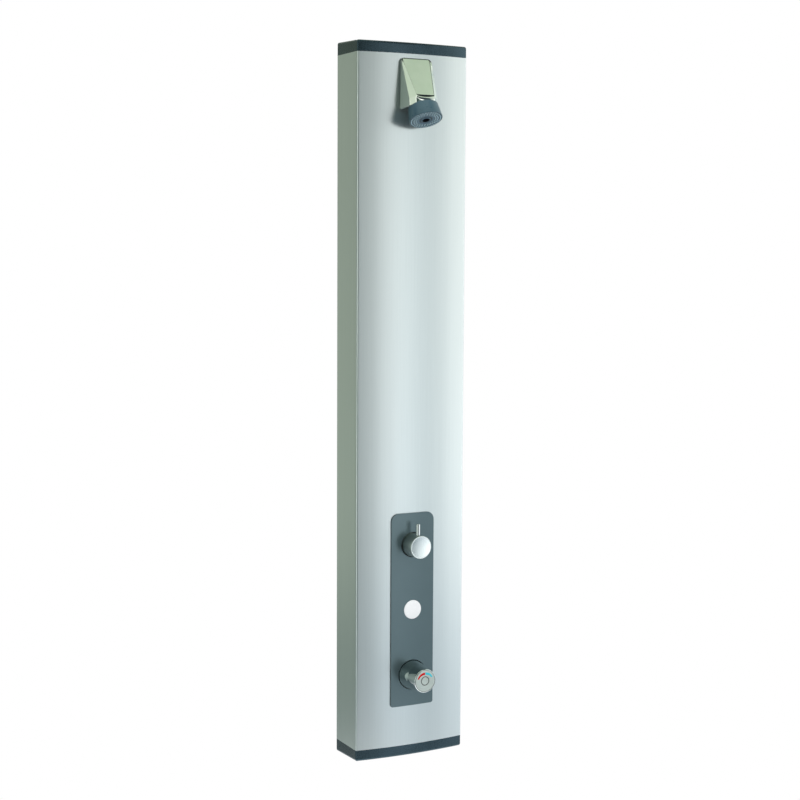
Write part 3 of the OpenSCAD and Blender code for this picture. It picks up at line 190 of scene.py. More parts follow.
def plastic(name, dark, light, rough, depth=0.0, grain=0.3, **sockets):
    """Moulded plastic with faint shade changes and, where depth says, a fine spark-eroded texture."""
    m = Mat(name, light, rough, 0.0, **sockets)
    m.tint(m.noise(28.0, detail=3.0), dark, light)
    m.rough(m.noise(3.5), rough - 0.03, rough + 0.03)
    if depth > 0:
        m.bump(m.noise(grain, detail=3.0, rough=0.6), depth)
    return m


def brushed_aluminium():
    """The column's satin skin, faintly streaked along its length."""
    m = Mat("aluminium", srgb(209, 219, 215), 0.29, 0.93, Anisotropic=0.4)
    return m.tint(m.noise(2.0, (1, 1, 80)), srgb(207, 216, 216), srgb(211, 220, 220), 0.2, 0.8)


def cap_plastic():
    return plastic("cap_slate", srgb(58, 75, 82), srgb(63, 81, 90), 0.28, Metallic=0.9)


def slate_plate():
    m = Mat("fascia_slate", srgb(92, 110, 114), 0.3, 0.6)
    return m.tint(m.noise(60.0), srgb(91, 109, 113), srgb(94, 112, 116))


def seal_rubber():
    return plastic("seal_rubber", srgb(24, 25, 27), srgb(34, 35, 37), 0.7, 0.02, 0.4)


def zinc_steel():
    return drawn_steel("zinc_steel", srgb(168, 172, 176), srgb(196, 200, 203), 0.34, 0.3, 1.5)


def sheet_steel():
    """Galvanised sheet with a faint spangle."""
    m = Mat("sheet_steel", srgb(176, 181, 184), 0.42, 1.0)
    spangle = m.node("ShaderNodeTexVoronoi", Scale=0.16)
    m.link(m.position(), spangle.inputs["Vector"])
    m.tint(spangle.outputs["Distance"], srgb(160, 166, 170), srgb(190, 195, 198), 0.0, 1.0)
    return m.rough(spangle.outputs["Distance"], 0.34, 0.48)


def raw_brass():
    m = Mat("raw_brass", srgb(206, 172, 104), 0.3, 1.0)
    m.tint(m.noise(9.0, detail=3.0), srgb(186, 150, 84), srgb(214, 182, 116))
    m.rough(m.noise(1.2), 0.24, 0.38)
    return m.bump(m.noise(0.5), 0.01)


def copper_tube():
    m = Mat("copper_tube", srgb(200, 126, 88), 0.26, 1.0)
    m.tint(m.noise(14.0, detail=4.0), srgb(166, 96, 62), srgb(210, 138, 100), 0.25, 0.75)
    return m.rough(m.noise(5.0, detail=3.0), 0.2, 0.36)


def plated_nut():
    m = Mat("plated_nut", srgb(206, 204, 196), 0.22, 1.0)
    return m.rough(m.noise(2.0), 0.16, 0.3)


def valve_plastic():
    return plastic("valve_plastic", srgb(214, 208, 188), srgb(224, 219, 202), 0.45, 0.01)


def stop_red():
    return plastic("stop_red", srgb(196, 2, 8), srgb(202, 6, 10), 0.6, Specular_IOR_Level=0.2)


def ceramic_disc():
    m = Mat("ceramic_disc", srgb(236, 236, 232), 0.12)
    return m.rough(m.noise(2.0), 0.08, 0.18)


def satin_metal():
    m = Mat("satin_metal", srgb(216, 222, 220), 0.2, 1.0)
    return m.rough(m.noise(9.0), 0.19, 0.22)


def turned_metal():
    """The flow knob's cone, with marks of the lathe."""
    m = Mat("turned_metal", srgb(204, 212, 210), 0.34, 1.0)
    return m.rough(m.noise(0.3, (1, 40, 1)), 0.31, 0.37)


def knob_chrome():
    m = Mat("knob_chrome", srgb(200, 207, 208), 0.07, 1.0)
    return m.rough(m.noise(6.0, detail=3.0), 0.02, 0.06)


def white_plastic():
    return plastic("button_white", srgb(246, 247, 247), srgb(250, 251, 251), 0.25)


def black_plastic():
    return plastic("black_plastic", srgb(30, 32, 35), srgb(38, 41, 44), 0.5, 0.02)


def plunger_steel():
    return drawn_steel("plunger_steel", srgb(150, 154, 158), srgb(172, 176, 180), 0.3, 0.2, 1.0)


def box_plastic():
    return plastic("box_plastic", srgb(204, 207, 203), srgb(214, 217, 213), 0.45, 0.03, 0.4)


def board_green():
    return plastic("board_green", srgb(26, 84, 52), srgb(34, 98, 62), 0.3, 0.01, 0.6)


def battery_wrap():
    return plastic("battery_wrap", srgb(48, 52, 58), srgb(58, 62, 70), 0.28, 0.01, 0.6)


def bracket_chrome():
    m = Mat("bracket_chrome", srgb(218, 225, 218), 0.06, 1.0)
    return m.rough(m.noise(8.0, detail=3.0), 0.03, 0.1)


def inset_satin():
    m = Mat("inset_satin", srgb(170, 187, 162), 0.4, 0.25)
    m.tint(m.noise(16.0, detail=3.0), srgb(167, 184, 159), srgb(172, 188, 164))
    return m.rough(m.noise(0.5), 0.34, 0.44)


def spray_plastic():
    return plastic("spray_slate", srgb(54, 81, 91), srgb(62, 90, 101), 0.3)


def spray_rubber():
    return plastic("spray_rubber", srgb(76, 106, 122), srgb(84, 114, 130), 0.42)


def spray_pans_painted_shade():
    """The spray face's pans between the nozzles, in a darker copy of its rubber: painted shade that the
    nozzles cast.
    """
    return plastic("spray_pans_painted_shade", srgb(30, 48, 58), srgb(34, 53, 63), 0.5)


def spray_eye_painted_shade():
    """The walls of the deep hole in the middle of the spray face, near-black: painted shade of the hole."""
    return plastic("spray_eye_painted_shade", srgb(16, 20, 26), srgb(20, 24, 30), 0.4)


# The nozzles are of the face's own silicone; this paler copy is painted highlight on them.
def nozzle_painted_highlight():
    return plastic("nozzle_painted_highlight", srgb(160, 190, 202), srgb(170, 199, 210), 0.4)


def regulator_blue():
    return plastic("regulator_blue", srgb(50, 100, 158), srgb(60, 112, 170), 0.4, 0.01)


def sweep_cyan():
    """The cold sweep of the thermostat's dial."""
    return plastic("sweep_cyan", srgb(58, 188, 204), srgb(66, 196, 210), 0.6, Specular_IOR_Level=0.2)


def dial_satin():
    """The thermostat's face and the disc in its middle."""
    m = Mat("dial_satin", srgb(186, 196, 190), 0.36, 0.75)
    return m.rough(m.noise(7.0), 0.34, 0.38)


def dark_steel():
    return plastic("dark_steel", srgb(22, 23, 26), srgb(32, 33, 36), 0.35, 0.01)


MAT = {make.__name__: make() for make in (
    brushed_aluminium, cap_plastic, slate_plate, seal_rubber, zinc_steel, sheet_steel, raw_brass, copper_tube,
    plated_nut, valve_plastic, stop_red, ceramic_disc, satin_metal, turned_metal, knob_chrome, white_plastic,
    black_plastic, plunger_steel, box_plastic, board_green, battery_wrap, bracket_chrome, inset_satin,
    spray_plastic, spray_rubber, spray_pans_painted_shade, spray_eye_painted_shade, nozzle_painted_highlight, regulator_blue, sweep_cyan, dial_satin,
    dark_steel)}


def dress_nodes():
    """Every CAD node gets the material of its slot."""
    for name, o in NODES.items():
        o.data.materials.clear()
        o.data.materials.append(MAT[NODE_SLOT[name]].m)
        o["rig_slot"] = NODE_SLOT[name]


# Mesh helpers
def lerp(a, b, t):
    return a + (b - a) * t


def smooth(t):
    t = max(0.0, min(1.0, t))
    return t * t * (3 - 2 * t)


def sag(x):
    """How far the casing's front has fallen back at a distance from its middle."""
    return FRONT_R - math.sqrt(FRONT_R ** 2 - x ** 2)


def finish_mesh(bm, name, slot, body="root", sharp=35.0, replaces=(), mat=None):
    """The bmesh, in millimetres with depth as -Y, as a piece that rides on a body."""
    bmesh.ops.remove_doubles(bm, verts=bm.verts, dist=0.0004)
    bmesh.ops.recalc_face_normals(bm, faces=bm.faces)
    bmesh.ops.scale(bm, vec=(MM, MM, MM), verts=bm.verts)
    mesh = bpy.data.meshes.new(name)
    bm.to_mesh(mesh)
    bm.free()
    mesh.polygons.foreach_set("use_smooth", [True] * len(mesh.polygons))
    mesh.set_sharp_from_angle(angle=math.radians(sharp))
    mesh.materials.append(MAT[mat or slot].m)
    o = bpy.data.objects.new(name, mesh)
    bpy.context.scene.collection.objects.link(o)
    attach(o, body)
    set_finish(o, slot)
    if replaces:
        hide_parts(*replaces)
    return o


def rounded(points, n=5):
    """A closed outline of (x, y, radius) corners, each rounded to its radius in n steps."""
    out = []
    count = len(points)
    for i, (x, y, r) in enumerate(points):
        p, a, b = Vector((x, y)), Vector(points[i - 1][:2]), Vector(points[(i + 1) % count][:2])
        u, v = a - p, b - p
        if r <= 0 or u.length < 1e-6 or v.length < 1e-6:
            out.append((x, y))
            continue
        u.normalize()
        v.normalize()
        half = math.acos(max(-1.0, min(1.0, u.dot(v)))) / 2
        if half > math.radians(89):
            out.append((x, y))
            continue
        run = r / math.tan(half)
        centre = p + (u + v).normalized() * (r / math.sin(half))
        start, end = p + u * run, p + v * run
        a0 = math.atan2(start.y - centre.y, start.x - centre.x)
        a1 = math.atan2(end.y - centre.y, end.x - centre.x)
        turn = (a1 - a0 + math.pi) % (2 * math.pi) - math.pi
        for k in range(n + 1):
            t = a0 + turn * k / n
            out.append((centre.x + r * math.cos(t), centre.y + r * math.sin(t)))
    return out


def dished(r, at, depth, first, steps):
    """Outline points, without radii, of a round dish in a face at depth at, from its rim to its middle."""
    shares = [1 - k / steps for k in range(first, steps + 1)]
    return [(r * share, at - depth * (1 - share ** 2), 0) for share in shares]


def ring_of(bm, points):
    """Vertices at (across, depth, height) points."""
    return [bm.verts.new((x, -d, z)) for x, d, z in points]


def strip(bm, r0, r1, closed=True):
    """Faces between two rows of as many vertices."""
    for i in range(len(r0) if closed else len(r0) - 1):
        m = (i + 1) % len(r0)
        bm.faces.new((r0[i], r0[m], r1[m], r1[i]))


def lathe_bm(profile, z=0.0, segs=96, change=None, place=None):
    """A closed profile of (radius, depth) turned round an axis out of the wall at height z, or by place."""
    bm = bmesh.new()
    rings = []
    for j in range(segs):
        t = 2 * math.pi * j / segs
        ring = []
        for r, d in profile:
            reach = change(r, d, t) if change else r
            x, y = reach * math.cos(t), reach * math.sin(t)
            ring.append(bm.verts.new(place(x, y, d) if place else (x, -d, z + y)))
        rings.append(ring)
    n = len(profile)
    for j in range(segs):
        a, b = rings[j], rings[(j + 1) % segs]
        for i in range(n):
            k = (i + 1) % n
            if profile[i][0] > 0 or profile[k][0] > 0:
                bm.faces.new((a[i], a[k], b[k], b[i]))
    return bm


def merge(bm, other):
    """Adds other's mesh to bm."""
    mesh = bpy.data.meshes.new("merge")
    other.to_mesh(mesh)
    other.free()
    bm.from_mesh(mesh)
    bpy.data.meshes.remove(mesh)
    return bm


def inward(pts):
    """For each point of a closed outline, the step that moves its two edges in by 1."""
    before, after = np.roll(pts, 1, 0), np.roll(pts, -1, 0)
    u = (pts - before) / np.maximum(np.linalg.norm(pts - before, axis=1), 1e-9)[:, None]
    v = (after - pts) / np.maximum(np.linalg.norm(after - pts, axis=1), 1e-9)[:, None]
    side = 1.0 if np.sum(pts[:, 0] * after[:, 1] - after[:, 0] * pts[:, 1]) > 0 else -1.0
    n = np.stack([-(u + v)[:, 1], (u + v)[:, 0]], 1) * side
    n /= np.maximum(np.linalg.norm(n, axis=1), 1e-9)[:, None]
    lean = np.clip(np.sum(n * np.stack([-u[:, 1], u[:, 0]], 1) * side, 1), 0.3, 1)
    return n / lean[:, None]


def slab_bm(outline, d0, d1, bevel=0.0, steps=3):
    """An outline in X and Z, thickened from depth d0 to d1, its front edge rounded by bevel."""
    bm = bmesh.new()
    pts = np.array(outline, float)
    levels = [(0.0, d0)]
    if bevel > 0:
        for k in range(steps + 1):
            t = math.pi / 2 * k / steps
            levels.append((bevel * (1 - math.cos(t)), d1 - bevel * (1 - math.sin(t))))
    else:
        levels.append((0.0, d1))
    n = inward(pts)
    rings = [ring_of(bm, [(x, d, z) for x, z in pts + n * inset]) for inset, d in levels]
    for r0, r1 in zip(rings, rings[1:]):
        strip(bm, r0, r1)
    bm.faces.new(rings[0])
    bm.faces.new(rings[-1])
    return bm


# Springs
def coil(name, node, z, r, wire, back, front, turns):
    """A helical spring out of the wall, its end turns closed."""
    bm = bmesh.new()
    steps, around, closed = turns * 28, 10, 0.8
    rings = []
    for i in range(steps + 1):
        t = i / steps
        a = 2 * math.pi * turns * t
        lead = min(1.0, max(0.0, (t * turns - closed) / (turns - 2 * closed)))
        d = back + wire + (front - back - 2 * wire) * lead
        ring = []
        for k in range(around):
            b = 2 * math.pi * k / around
            reach = r + wire * math.cos(b)
            ring.append((reach * math.cos(a), d + wire * math.sin(b), z + reach * math.sin(a)))
        rings.append(ring_of(bm, ring))
    for r0, r1 in zip(rings, rings[1:]):
        strip(bm, r0, r1)
    bm.faces.new(rings[0])
    bm.faces.new(rings[-1])
    o = finish_mesh(bm, name, "zinc_steel", "root", 60, [node])
    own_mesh(o)
    return o


def build_springs():
    shuttle_back, button_back, solenoid_front = 18.0, 78.35, 71.0
    coil("thermo_coil", "thermo_spring", MIXER_Z, 6.5, 0.5, shuttle_back, 26.0, 5)
    coil("button_coil", "button_spring", BUTTON_Z, 4.5, 0.35, button_back, BUTTON_UNDER, 4)
    coil("solenoid_coil_spring", "solenoid_spring", SOLENOID_Z, 4.2, 0.35, 58.05, solenoid_front, 6)


# Controls
def build_flow_knob():
    """A turned cone with a shallow dish in its face, hollow behind round the spindle's boss."""
    back, front, base_r, r = KNOB_BACK, FLOW_FRONT, 20.1, 19.0
    foot_ease, front_ease, wall, pin_r = 0.6, 0.4, 3.0, 3.0
    dish_r, dish, face_t, rim = 18.0, 0.7, 0.8, 0.25
    hollow_d, bore_d, boss_back = PIN_D - pin_r - wall, PIN_D - 0.3, back + 4
    boss_r = SPINDLE_R + wall
    outer = rounded([(0, back, 0), (base_r - foot_ease, back, 0.2), (base_r, back + foot_ease, 0.2),
                     (r, front - front_ease, 0.3), (r - front_ease, front, 0.25),
                     *dished(dish_r, front, dish, 1, 16)], 4)
    inner = [(r - wall, back), (r - wall, hollow_d), (boss_r, hollow_d), (boss_r, boss_back),
             (SPINDLE_R, boss_back), (SPINDLE_R, bore_d), (0, bore_d)]
    profile = [(0, front - dish), *[p for p in reversed(outer) if p[0] > 0], *inner]
    bm = lathe_bm(profile, FLOW_Z, 128)
    for f in bm.faces:
        c = f.calc_center_median()
        on_face = -c.y > front - face_t and math.hypot(c.x, c.z - FLOW_Z) < r - rim
        f.material_index = 0 if on_face else 1
    knob = finish_mesh(bm, "flow_knob_turned", "satin_metal", "flow_control", 30, ["flow_knob"])
    knob.data.materials.append(MAT["turned_metal"].m)
    return knob


def build_flow_pin():
    """The pin that stands up through the flow knob's rim, its top edge rounded."""
    r, ease, low, high = 3.4, 0.9, FLOW_Z + SPINDLE_R, FLOW_Z + 37.7
    turns = [math.radians(15 * k) for k in range(1, 7)]
    top = [(r - ease + ease * math.cos(a), high - ease + ease * math.sin(a)) for a in turns]
    profile = [(0, low), (r, low), (r, high - ease), *top, (0, high)]
    bm = lathe_bm(profile, segs=48, place=lambda x, y, z: (x, y - PIN_D, z))
    return finish_mesh(bm, "flow_pin_turned", "knob_chrome", "flow_control", 30, ["flow_pin"])


def scooped(r, d, t):
    """Radius of the thermostat's skin at depth d and angle t, where the finger scoops cut into it."""
    scoops, scoop_r, scoop_out, scoop_d, turned = 4, 14.0, 25.8, THERMO_FRONT - 15.3, math.radians(8)
    reach, blend, lip = 1.0, 0.8, 0.3
    if r < SKIN_R or d < SKIN_D or d > THERMO_FRONT - lip:
        return r
    best = r
    for i in range(scoops):
        a = t - turned - i * 2 * math.pi / scoops
        a = (a + math.pi) % (2 * math.pi) - math.pi
        chord = scoop_r ** 2 - (scoop_out * math.sin(a)) ** 2 - (d - scoop_d) ** 2
        if abs(a) > reach or chord <= 0:
            continue
        cut = scoop_out * math.cos(a) - math.sqrt(chord)
        if cut < best + blend:
            h = max(0.0, min(1.0, 0.5 + 0.5 * (cut - best) / blend))
            best = cut + (best - cut) * (1 - h) - blend * h * (1 - h) * 0.5
    return min(best, r)


def build_thermo_knob():
    """A waisted cone with four finger scoops, a recess for its face and a hollow back round the spindle."""
    front, back = THERMO_FRONT, KNOB_BACK
    base_r, waist_r, tip_r, tip_ease = 24.9, 21.2, 19.8, 0.9
    recess_r, recess_d, head_r, head_d = 18.5, front - 1.2, 4.3, front - 5.25
    screw_r, bore_d, boss_r, boss_front = 2.1, front - 13.2, 7.0, 105.0
    roof_r, roof_d, hollow_r = 11.0, 107.2, 21.2
    waist_d = back + (front - back) * 0.55
    outside = [(base_r - 0.5, back, 0.2), (base_r, back + 0.8, 0.4), (base_r, FRONT_D + 0.8, 0.5),
               (waist_r, waist_d, 30.0), (tip_r, front - 2.4, 2.0), (tip_r, front - tip_ease, 0.8),
               (tip_r - tip_ease, front, 0.7)]
    recess = [(recess_r, front, 0.12), (recess_r, recess_d, 0), (head_r, recess_d, 0), (head_r, head_d, 0)]
    bore = [(screw_r, head_d, 0), (screw_r, bore_d, 0), (SPINDLE_R, bore_d, 0), (SPINDLE_R, back, 0)]
    hollow = [(boss_r, back, 0), (boss_r, boss_front, 0), (roof_r, roof_d, 0), (hollow_r, FRONT_D, 0),
              (hollow_r, back, 0)]
    outer = rounded([*outside, *recess, *bore, *hollow], 6)
    fine, step = [], 0.45
    for (r0, d0), (r1, d1) in zip(outer, outer[1:] + outer[:1]):
        long = math.hypot(r1 - r0, d1 - d0)
        steps = max(1, int(long / step)) if min(r0, r1) > SKIN_R and min(d0, d1) > SKIN_D else 1
        fine += [(r0 + (r1 - r0) * k / steps, d0 + (d1 - d0) * k / steps) for k in range(steps)]
    bm = lathe_bm(fine, MIXER_Z, 288, scooped)
    return finish_mesh(bm, "thermo_knob_scooped", "knob_chrome", "thermostat", 32, ["thermo_knob"])


def shade_ring(name, inner, outer, low, high, segs):
    """A near-black ring with square edges set in a gap of the thermostat: painted shade of the gap."""
    bm = lathe_bm([(inner, low), (outer, low), (outer, high), (inner, high)], MIXER_Z, segs)
    return finish_mesh(bm, name, "black_plastic", "thermostat", 30, mat="dark_steel")


def build_sweep(name, slot, mat, from_deg, to_deg):
    """A raised band on the thermostat's face that tapers as it goes round."""
    front, sunk, proud, bevel = THERMO_FRONT - 0.05, 0.4, 0.06, 0.04
    steps, outer_r, inner_r = 16, (14.5, 14.9), (10.2, 12.4)
    outer, inner = [], []
    for k in range(steps + 1):
        t = k / steps
        a = math.radians(lerp(from_deg, to_deg, t))
        for edge, (r0, r1) in ((outer, outer_r), (inner, inner_r)):
            r = lerp(r0, r1, t)
            edge.append((r * math.cos(a), MIXER_Z + r * math.sin(a)))
    bm = slab_bm(outer + inner[::-1], front - sunk, front + proud, bevel, 2)
    return finish_mesh(bm, name, slot, "thermostat", 30, mat=mat)


def build_thermo_face():
    """The knob's inset face with its raised red and blue sweep, and the centre disc in a near-black ring:
    painted shade of the gap round it.
    """
    front, under, hole_r = THERMO_FRONT - 0.05, 1.1, 7.75
    disc = rounded([(hole_r, front - under, 0), (hole_r, front, 0.12), (FACE_R, front, 0.12),
                    (FACE_R, front - under, 0)], 3)
    finish_mesh(lathe_bm(disc, MIXER_Z, 128), "thermo_face_turned", "satin_metal", "thermostat", 30,
                ["thermo_face"], "dial_satin")
    cap_r, cap_under = 6.4, front - 1.0
    cap = rounded([(0, cap_under, 0), (cap_r, cap_under, 0), (cap_r, front - 0.1, 0.25),
                   (cap_r - 0.4, front + 0.02, 0.2), *dished(5.4, front - 0.05, 0.35, 0, 8)], 4)
    finish_mesh(lathe_bm(cap, MIXER_Z, 96), "thermo_cap_turned", "knob_chrome", "thermostat", 30,
                ["thermo_cap"], "dial_satin")
    # Both rings are painted shade, set in the gaps round the cap and round the face.
    shade_ring("thermo_cap_shade_ring", cap_r + 0.1, hole_r - 0.05, front - under, front - 0.3, 96)
    shade_ring("thermo_face_shade_ring", FACE_R + 0.05, 18.45, front - under, front - 0.25, 128)
    build_sweep("thermo_warm_sweep", "stop_red", "stop_red", 91.0, 163.0)
    build_sweep("thermo_cool_sweep", "regulator_blue", "sweep_cyan", 88.5, 24.0)


def build_button():
    """The white button, gently domed, its edge eased into the gap round it, on its short stem."""
    front, under, r, dome, steps = BUTTON_FRONT, BUTTON_UNDER, BUTTON_R, 0.75, 12
    crown = [(r * k / steps, front - dome * (k / steps) ** 2.4, 0) for k in range(1, steps)]
    profile = rounded([(0, under, 0), (r, under, 0.2), (r, front - 0.8, 0.7), *reversed(crown),
                       (0, front, 0)], 4)
    stem_r, stem_back, stem_front = 3.0, 74.0, under + 0.4
    stem = [(0, stem_back), (stem_r, stem_back), (stem_r, stem_front), (0, stem_front)]
    bm = merge(lathe_bm(profile, BUTTON_Z, 128), lathe_bm(stem, BUTTON_Z, 32))
    return finish_mesh(bm, "button_cap_moulded", "white_plastic", "button", 40, ["button_cap"])


# Spray head
def cup_top(d):
    """Height of the spray cup's top plane at a depth."""
    forward = d - CUP_D + CUP_H * math.sin(CUP_TILT)
    return CUP_Z + CUP_H * math.cos(CUP_TILT) + forward * math.tan(CUP_TILT)


def on_slope(x, down, rise):
    """A point on the bracket's sloping top: across, down from its top edge, and out of its plane."""
    run = math.hypot(BROW_D - SLOPE_D, HEAD_TOP - BROW_Z)
    along = Vector((0, -(BROW_D - SLOPE_D), BROW_Z - HEAD_TOP)) / run
    out = Vector((0, along.z, -along.y))
    return Vector((x, -SLOPE_D, HEAD_TOP)) + along * down + out * rise


def inset_slab(grow, low, high, bevel=0.0):
    """The panel's outline, wide at the top and narrow at the foot, thickened about the slope's plane."""
    top, foot, top_half, foot_half = 1.3 - grow, 69.9 + grow, 24.9 + grow, 15.7 + grow
    outline = rounded([(-top_half, top, 3.0), (-foot_half, foot, 1.4), (foot_half, foot, 1.4),
                       (top_half, top, 3.0)], 8)
    bm = slab_bm([(x, -run) for x, run in outline], low, high, bevel)
    for v in bm.verts:
        v.co = on_slope(v.co.x, -v.co.z, -v.co.y)
    return bm


def bracket_columns(cheek):
    """Base point, nose point, roll radius, tilt and heading of each column from the middle to the cheek."""
    flat, straight_x, roll, bow = HEAD_HALF - HEAD_TOP_R, 12.6, 12.5, math.radians(9) / BROW_HALF
    flat_steps, brow_steps, cheek_steps = 8, 8, 10
    cheek_roll, cheek_tilt, cheek_heading = (3.5, 1.2), math.radians(20), (42, 46)

    def nose(x):
        """The brow's point at x: it bows back as it leaves the middle, and stays in the slope's plane."""
        back = x * x * bow / 2
        return Vector((x, BROW_D - back, BROW_Z + back / math.tan(SLOPE)))

    cols = []
    for k in range(flat_steps + 1):
        x = lerp(0, straight_x, k / flat_steps)
        cols.append(((lerp(0, flat, k / flat_steps), HEAD_TOP), nose(x), roll, SLOPE, bow * x))
    edge, corner_steps = nose(BROW_HALF), brow_steps + cheek_steps
    for k in range(1, corner_steps + 1):
        a = math.pi / 2 * k / corner_steps
        base = (flat + HEAD_TOP_R * math.sin(a), HEAD_TOP - HEAD_TOP_R + HEAD_TOP_R * math.cos(a))
        if k <= brow_steps:
            x = lerp(straight_x, BROW_HALF, k / brow_steps)
            cols.append((base, nose(x), roll, SLOPE, bow * x))
        else:
            u = (k - brow_steps) / cheek_steps
            heading = math.radians(lerp(*cheek_heading, u))
            cols.append((base, edge.lerp(cheek, u), lerp(*cheek_roll, u), cheek_tilt, heading))
    return cols


def bracket_side(cheek, jaw, rows):
    """Base and nose points down the bracket's straight side."""
    high, low = HEAD_TOP - HEAD_TOP_R, HEAD_FOOT + HEAD_FOOT_R
    return [((HEAD_HALF, lerp(high, low, k / rows)), cheek.lerp(jaw, k / rows)) for k in range(1, rows + 1)]


def bracket_low(jaw):
    """Base and nose points round the bracket's low corner and in to its middle."""
    r, tuck, dip, corner_steps, flat_steps = HEAD_FOOT_R, 1.8, 0.8, 5, 8
    points = []
    for k in range(1, corner_steps + 1):
        a = math.pi / 2 * k / corner_steps
        back = -tuck * (1 - math.cos(a))
        points.append(((HEAD_HALF - r + r * math.cos(a), HEAD_FOOT + r - r * math.sin(a)),
                       jaw + Vector((back, back, -dip * math.sin(a)))))
    end = points[-1][1]
    for k in range(1, flat_steps + 1):
        t = k / flat_steps
        points.append(((lerp(HEAD_HALF - r, 0, t), HEAD_FOOT), Vector((lerp(end.x, 0, t), end.y, end.z))))
    return points


def bracket_skin(loop, t):
    """The skin between the base and the nose. The top edge stands in the slope's plane."""
    corner, root = HEAD_TOP - HEAD_TOP_R, HEAD_REAR + 0.3
    points = []
    for (bx, bz), n in loop:
        lift = smooth((bz - HEAD_FOOT) / (corner - HEAD_FOOT))
        front = SLOPE_D + max(0.0, HEAD_TOP - max(bz, corner)) * math.tan(SLOPE)
        start = lerp(root - sag(bx), front, lift)
        points.append((lerp(bx, n.x, t), lerp(start, n.y, t), lerp(bz, n.z, t)))
    return points


def bracket_drop(column, rows):
    """One column of the front: it rolls over by its radius to a little past upright, then falls to just
    above the cup."""
    _, n, r, tilt, heading = column
    last = -math.radians(9)
    turn = r * (tilt - last)
    foot = n.z + r * (math.sin(last) - math.sin(tilt))
    out = r * (math.cos(last) - math.cos(tilt))
    fall = max(0.2, foot - (cup_top(n.y + out * math.cos(heading)) + HEAD_GAP))
    points = []
    for k in range(rows + 1):
        run = (turn + fall) * k / rows
        if run <= turn:
            a = tilt - run / r
            forward, z = r * (math.cos(a) - math.cos(tilt)), n.z + r * (math.sin(a) - math.sin(tilt))
        else:
            forward, z = out, foot - (run - turn)
        points.append((n.x + forward * math.sin(heading), n.y + forward * math.cos(heading), z))
    return points


def bracket_inside(loop, nose_z, t):
    """The same form set in by the wall, open towards the casing."""
    mid_z, narrow = (HEAD_TOP + HEAD_FOOT) / 2, 1 - HEAD_WALL / HEAD_HALF
    flatten = 1 - 2 * HEAD_WALL / (HEAD_TOP - HEAD_FOOT)
    nose_share, nose_flat, nose_back = 0.86, 0.7, HEAD_WALL + 1.0
    points = []
    for (bx, bz), n in loop:
        x, z = bx * narrow, mid_z + (bz - mid_z) * flatten
        points.append((lerp(x, n.x * nose_share, t), lerp(HEAD_REAR - sag(x), n.y - nose_back, t),
                       lerp(z, nose_z + (n.z - nose_z) * nose_flat, t)))
    return points


def build_bracket():
    """The wedge: a rounded base drawn out to a bowed nose that rolls over and drops to the spray cup."""
    rows, jaw_d = 20, 111.8
    cheek = Vector((25.4, 112.4, FOOT + 1103.4))
    jaw = Vector((25.2, jaw_d, cup_top(jaw_d) + HEAD_GAP))
    top, side, low = bracket_columns(cheek), bracket_side(cheek, jaw, rows), bracket_low(jaw)
    right = [(base, n) for base, n, *_ in top] + side + low
    loop = right + [((-b[0], b[1]), Vector((-n.x, n.y, n.z))) for b, n in reversed(right[1:-1])]

    bm = bmesh.new()
    skin = [ring_of(bm, [(bx, HEAD_REAR - sag(bx), bz) for (bx, bz), _ in loop])]
    for t in (0, 0.01, 0.03, 0.1, 0.2, 0.3, 0.4, 0.5, 0.6, 0.7, 0.8, 0.9, 0.97, 1):
        skin.append(ring_of(bm, bracket_skin(loop, t)))
    for r0, r1 in zip(skin, skin[1:]):
        strip(bm, r0, r1)

    columns = [bracket_drop(c, rows) for c in top[:-1]] + [[tuple(cheek)] + [tuple(n) for _, n in side]]
    columns = [[(-x, d, z) for x, d, z in c] for c in reversed(columns[1:])] + columns
    grid = [ring_of(bm, c) for c in columns]
    for c0, c1 in zip(grid, grid[1:]):
        strip(bm, c0, c1, closed=False)
    under = [c[-1] for c in grid] + ring_of(bm, [tuple(n) for _, n in low])
    under += ring_of(bm, [(-n.x, n.y, n.z) for _, n in reversed(low[:-1])])
    bm.faces.new(under)

    nose_z = (BROW_Z + jaw.z) / 2
    inner = [ring_of(bm, bracket_inside(loop, nose_z, t)) for t in (0.0, 0.5, 0.9)]
    for r0, r1 in zip([skin[0], *inner], inner):
        strip(bm, r0, r1)
    bm.faces.new(inner[-1])
    bracket = finish_mesh(bm, "head_bracket_cast", "bracket_chrome", "root", 34, ["head_bracket"])
    sink(bracket, inset_slab(grow=0.35, low=-1.1, high=3.0))
    return bracket


def sink(piece, cutter_bm):
    """Cuts the space that the bmesh takes, in millimetres, out of a piece."""
    bmesh.ops.recalc_face_normals(cutter_bm, faces=cutter_bm.faces)
    bmesh.ops.scale(cutter_bm, vec=(MM, MM, MM), verts=cutter_bm.verts)
    mesh = bpy.data.meshes.new("cutter")
    cutter_bm.to_mesh(mesh)
    cutter_bm.free()
    cutter = bpy.data.objects.new("cutter", mesh)
    bpy.context.scene.collection.objects.link(cutter)
    cut = piece.modifiers.new("recess", "BOOLEAN")
    cut.operation, cut.solver, cut.object = "DIFFERENCE", "EXACT", cutter
    graph = bpy.context.evaluated_depsgraph_get()
    result = bpy.data.meshes.new_from_object(piece.evaluated_get(graph))
    piece.modifiers.remove(cut)
    result.set_sharp_from_angle(angle=math.radians(34))
    piece.data = result
    bpy.data.objects.remove(cutter)


def build_inset():
    """The satin panel, sunk a little into the bracket's slope, its edges eased."""
    bm = inset_slab(grow=0.0, low=-1.0, high=-0.4, bevel=0.2)
    return finish_mesh(bm, "head_inset_panel", "inset_satin", "root", 30, ["head_inset"])


def in_spray(x, y, h):
    """A point of the spray's frame, in which the face's centre is the origin and h runs up the axis."""
    return (x, -CUP_D + y * math.cos(CUP_TILT) + h * math.sin(CUP_TILT),
            CUP_Z - y * math.sin(CUP_TILT) + h * math.cos(CUP_TILT))


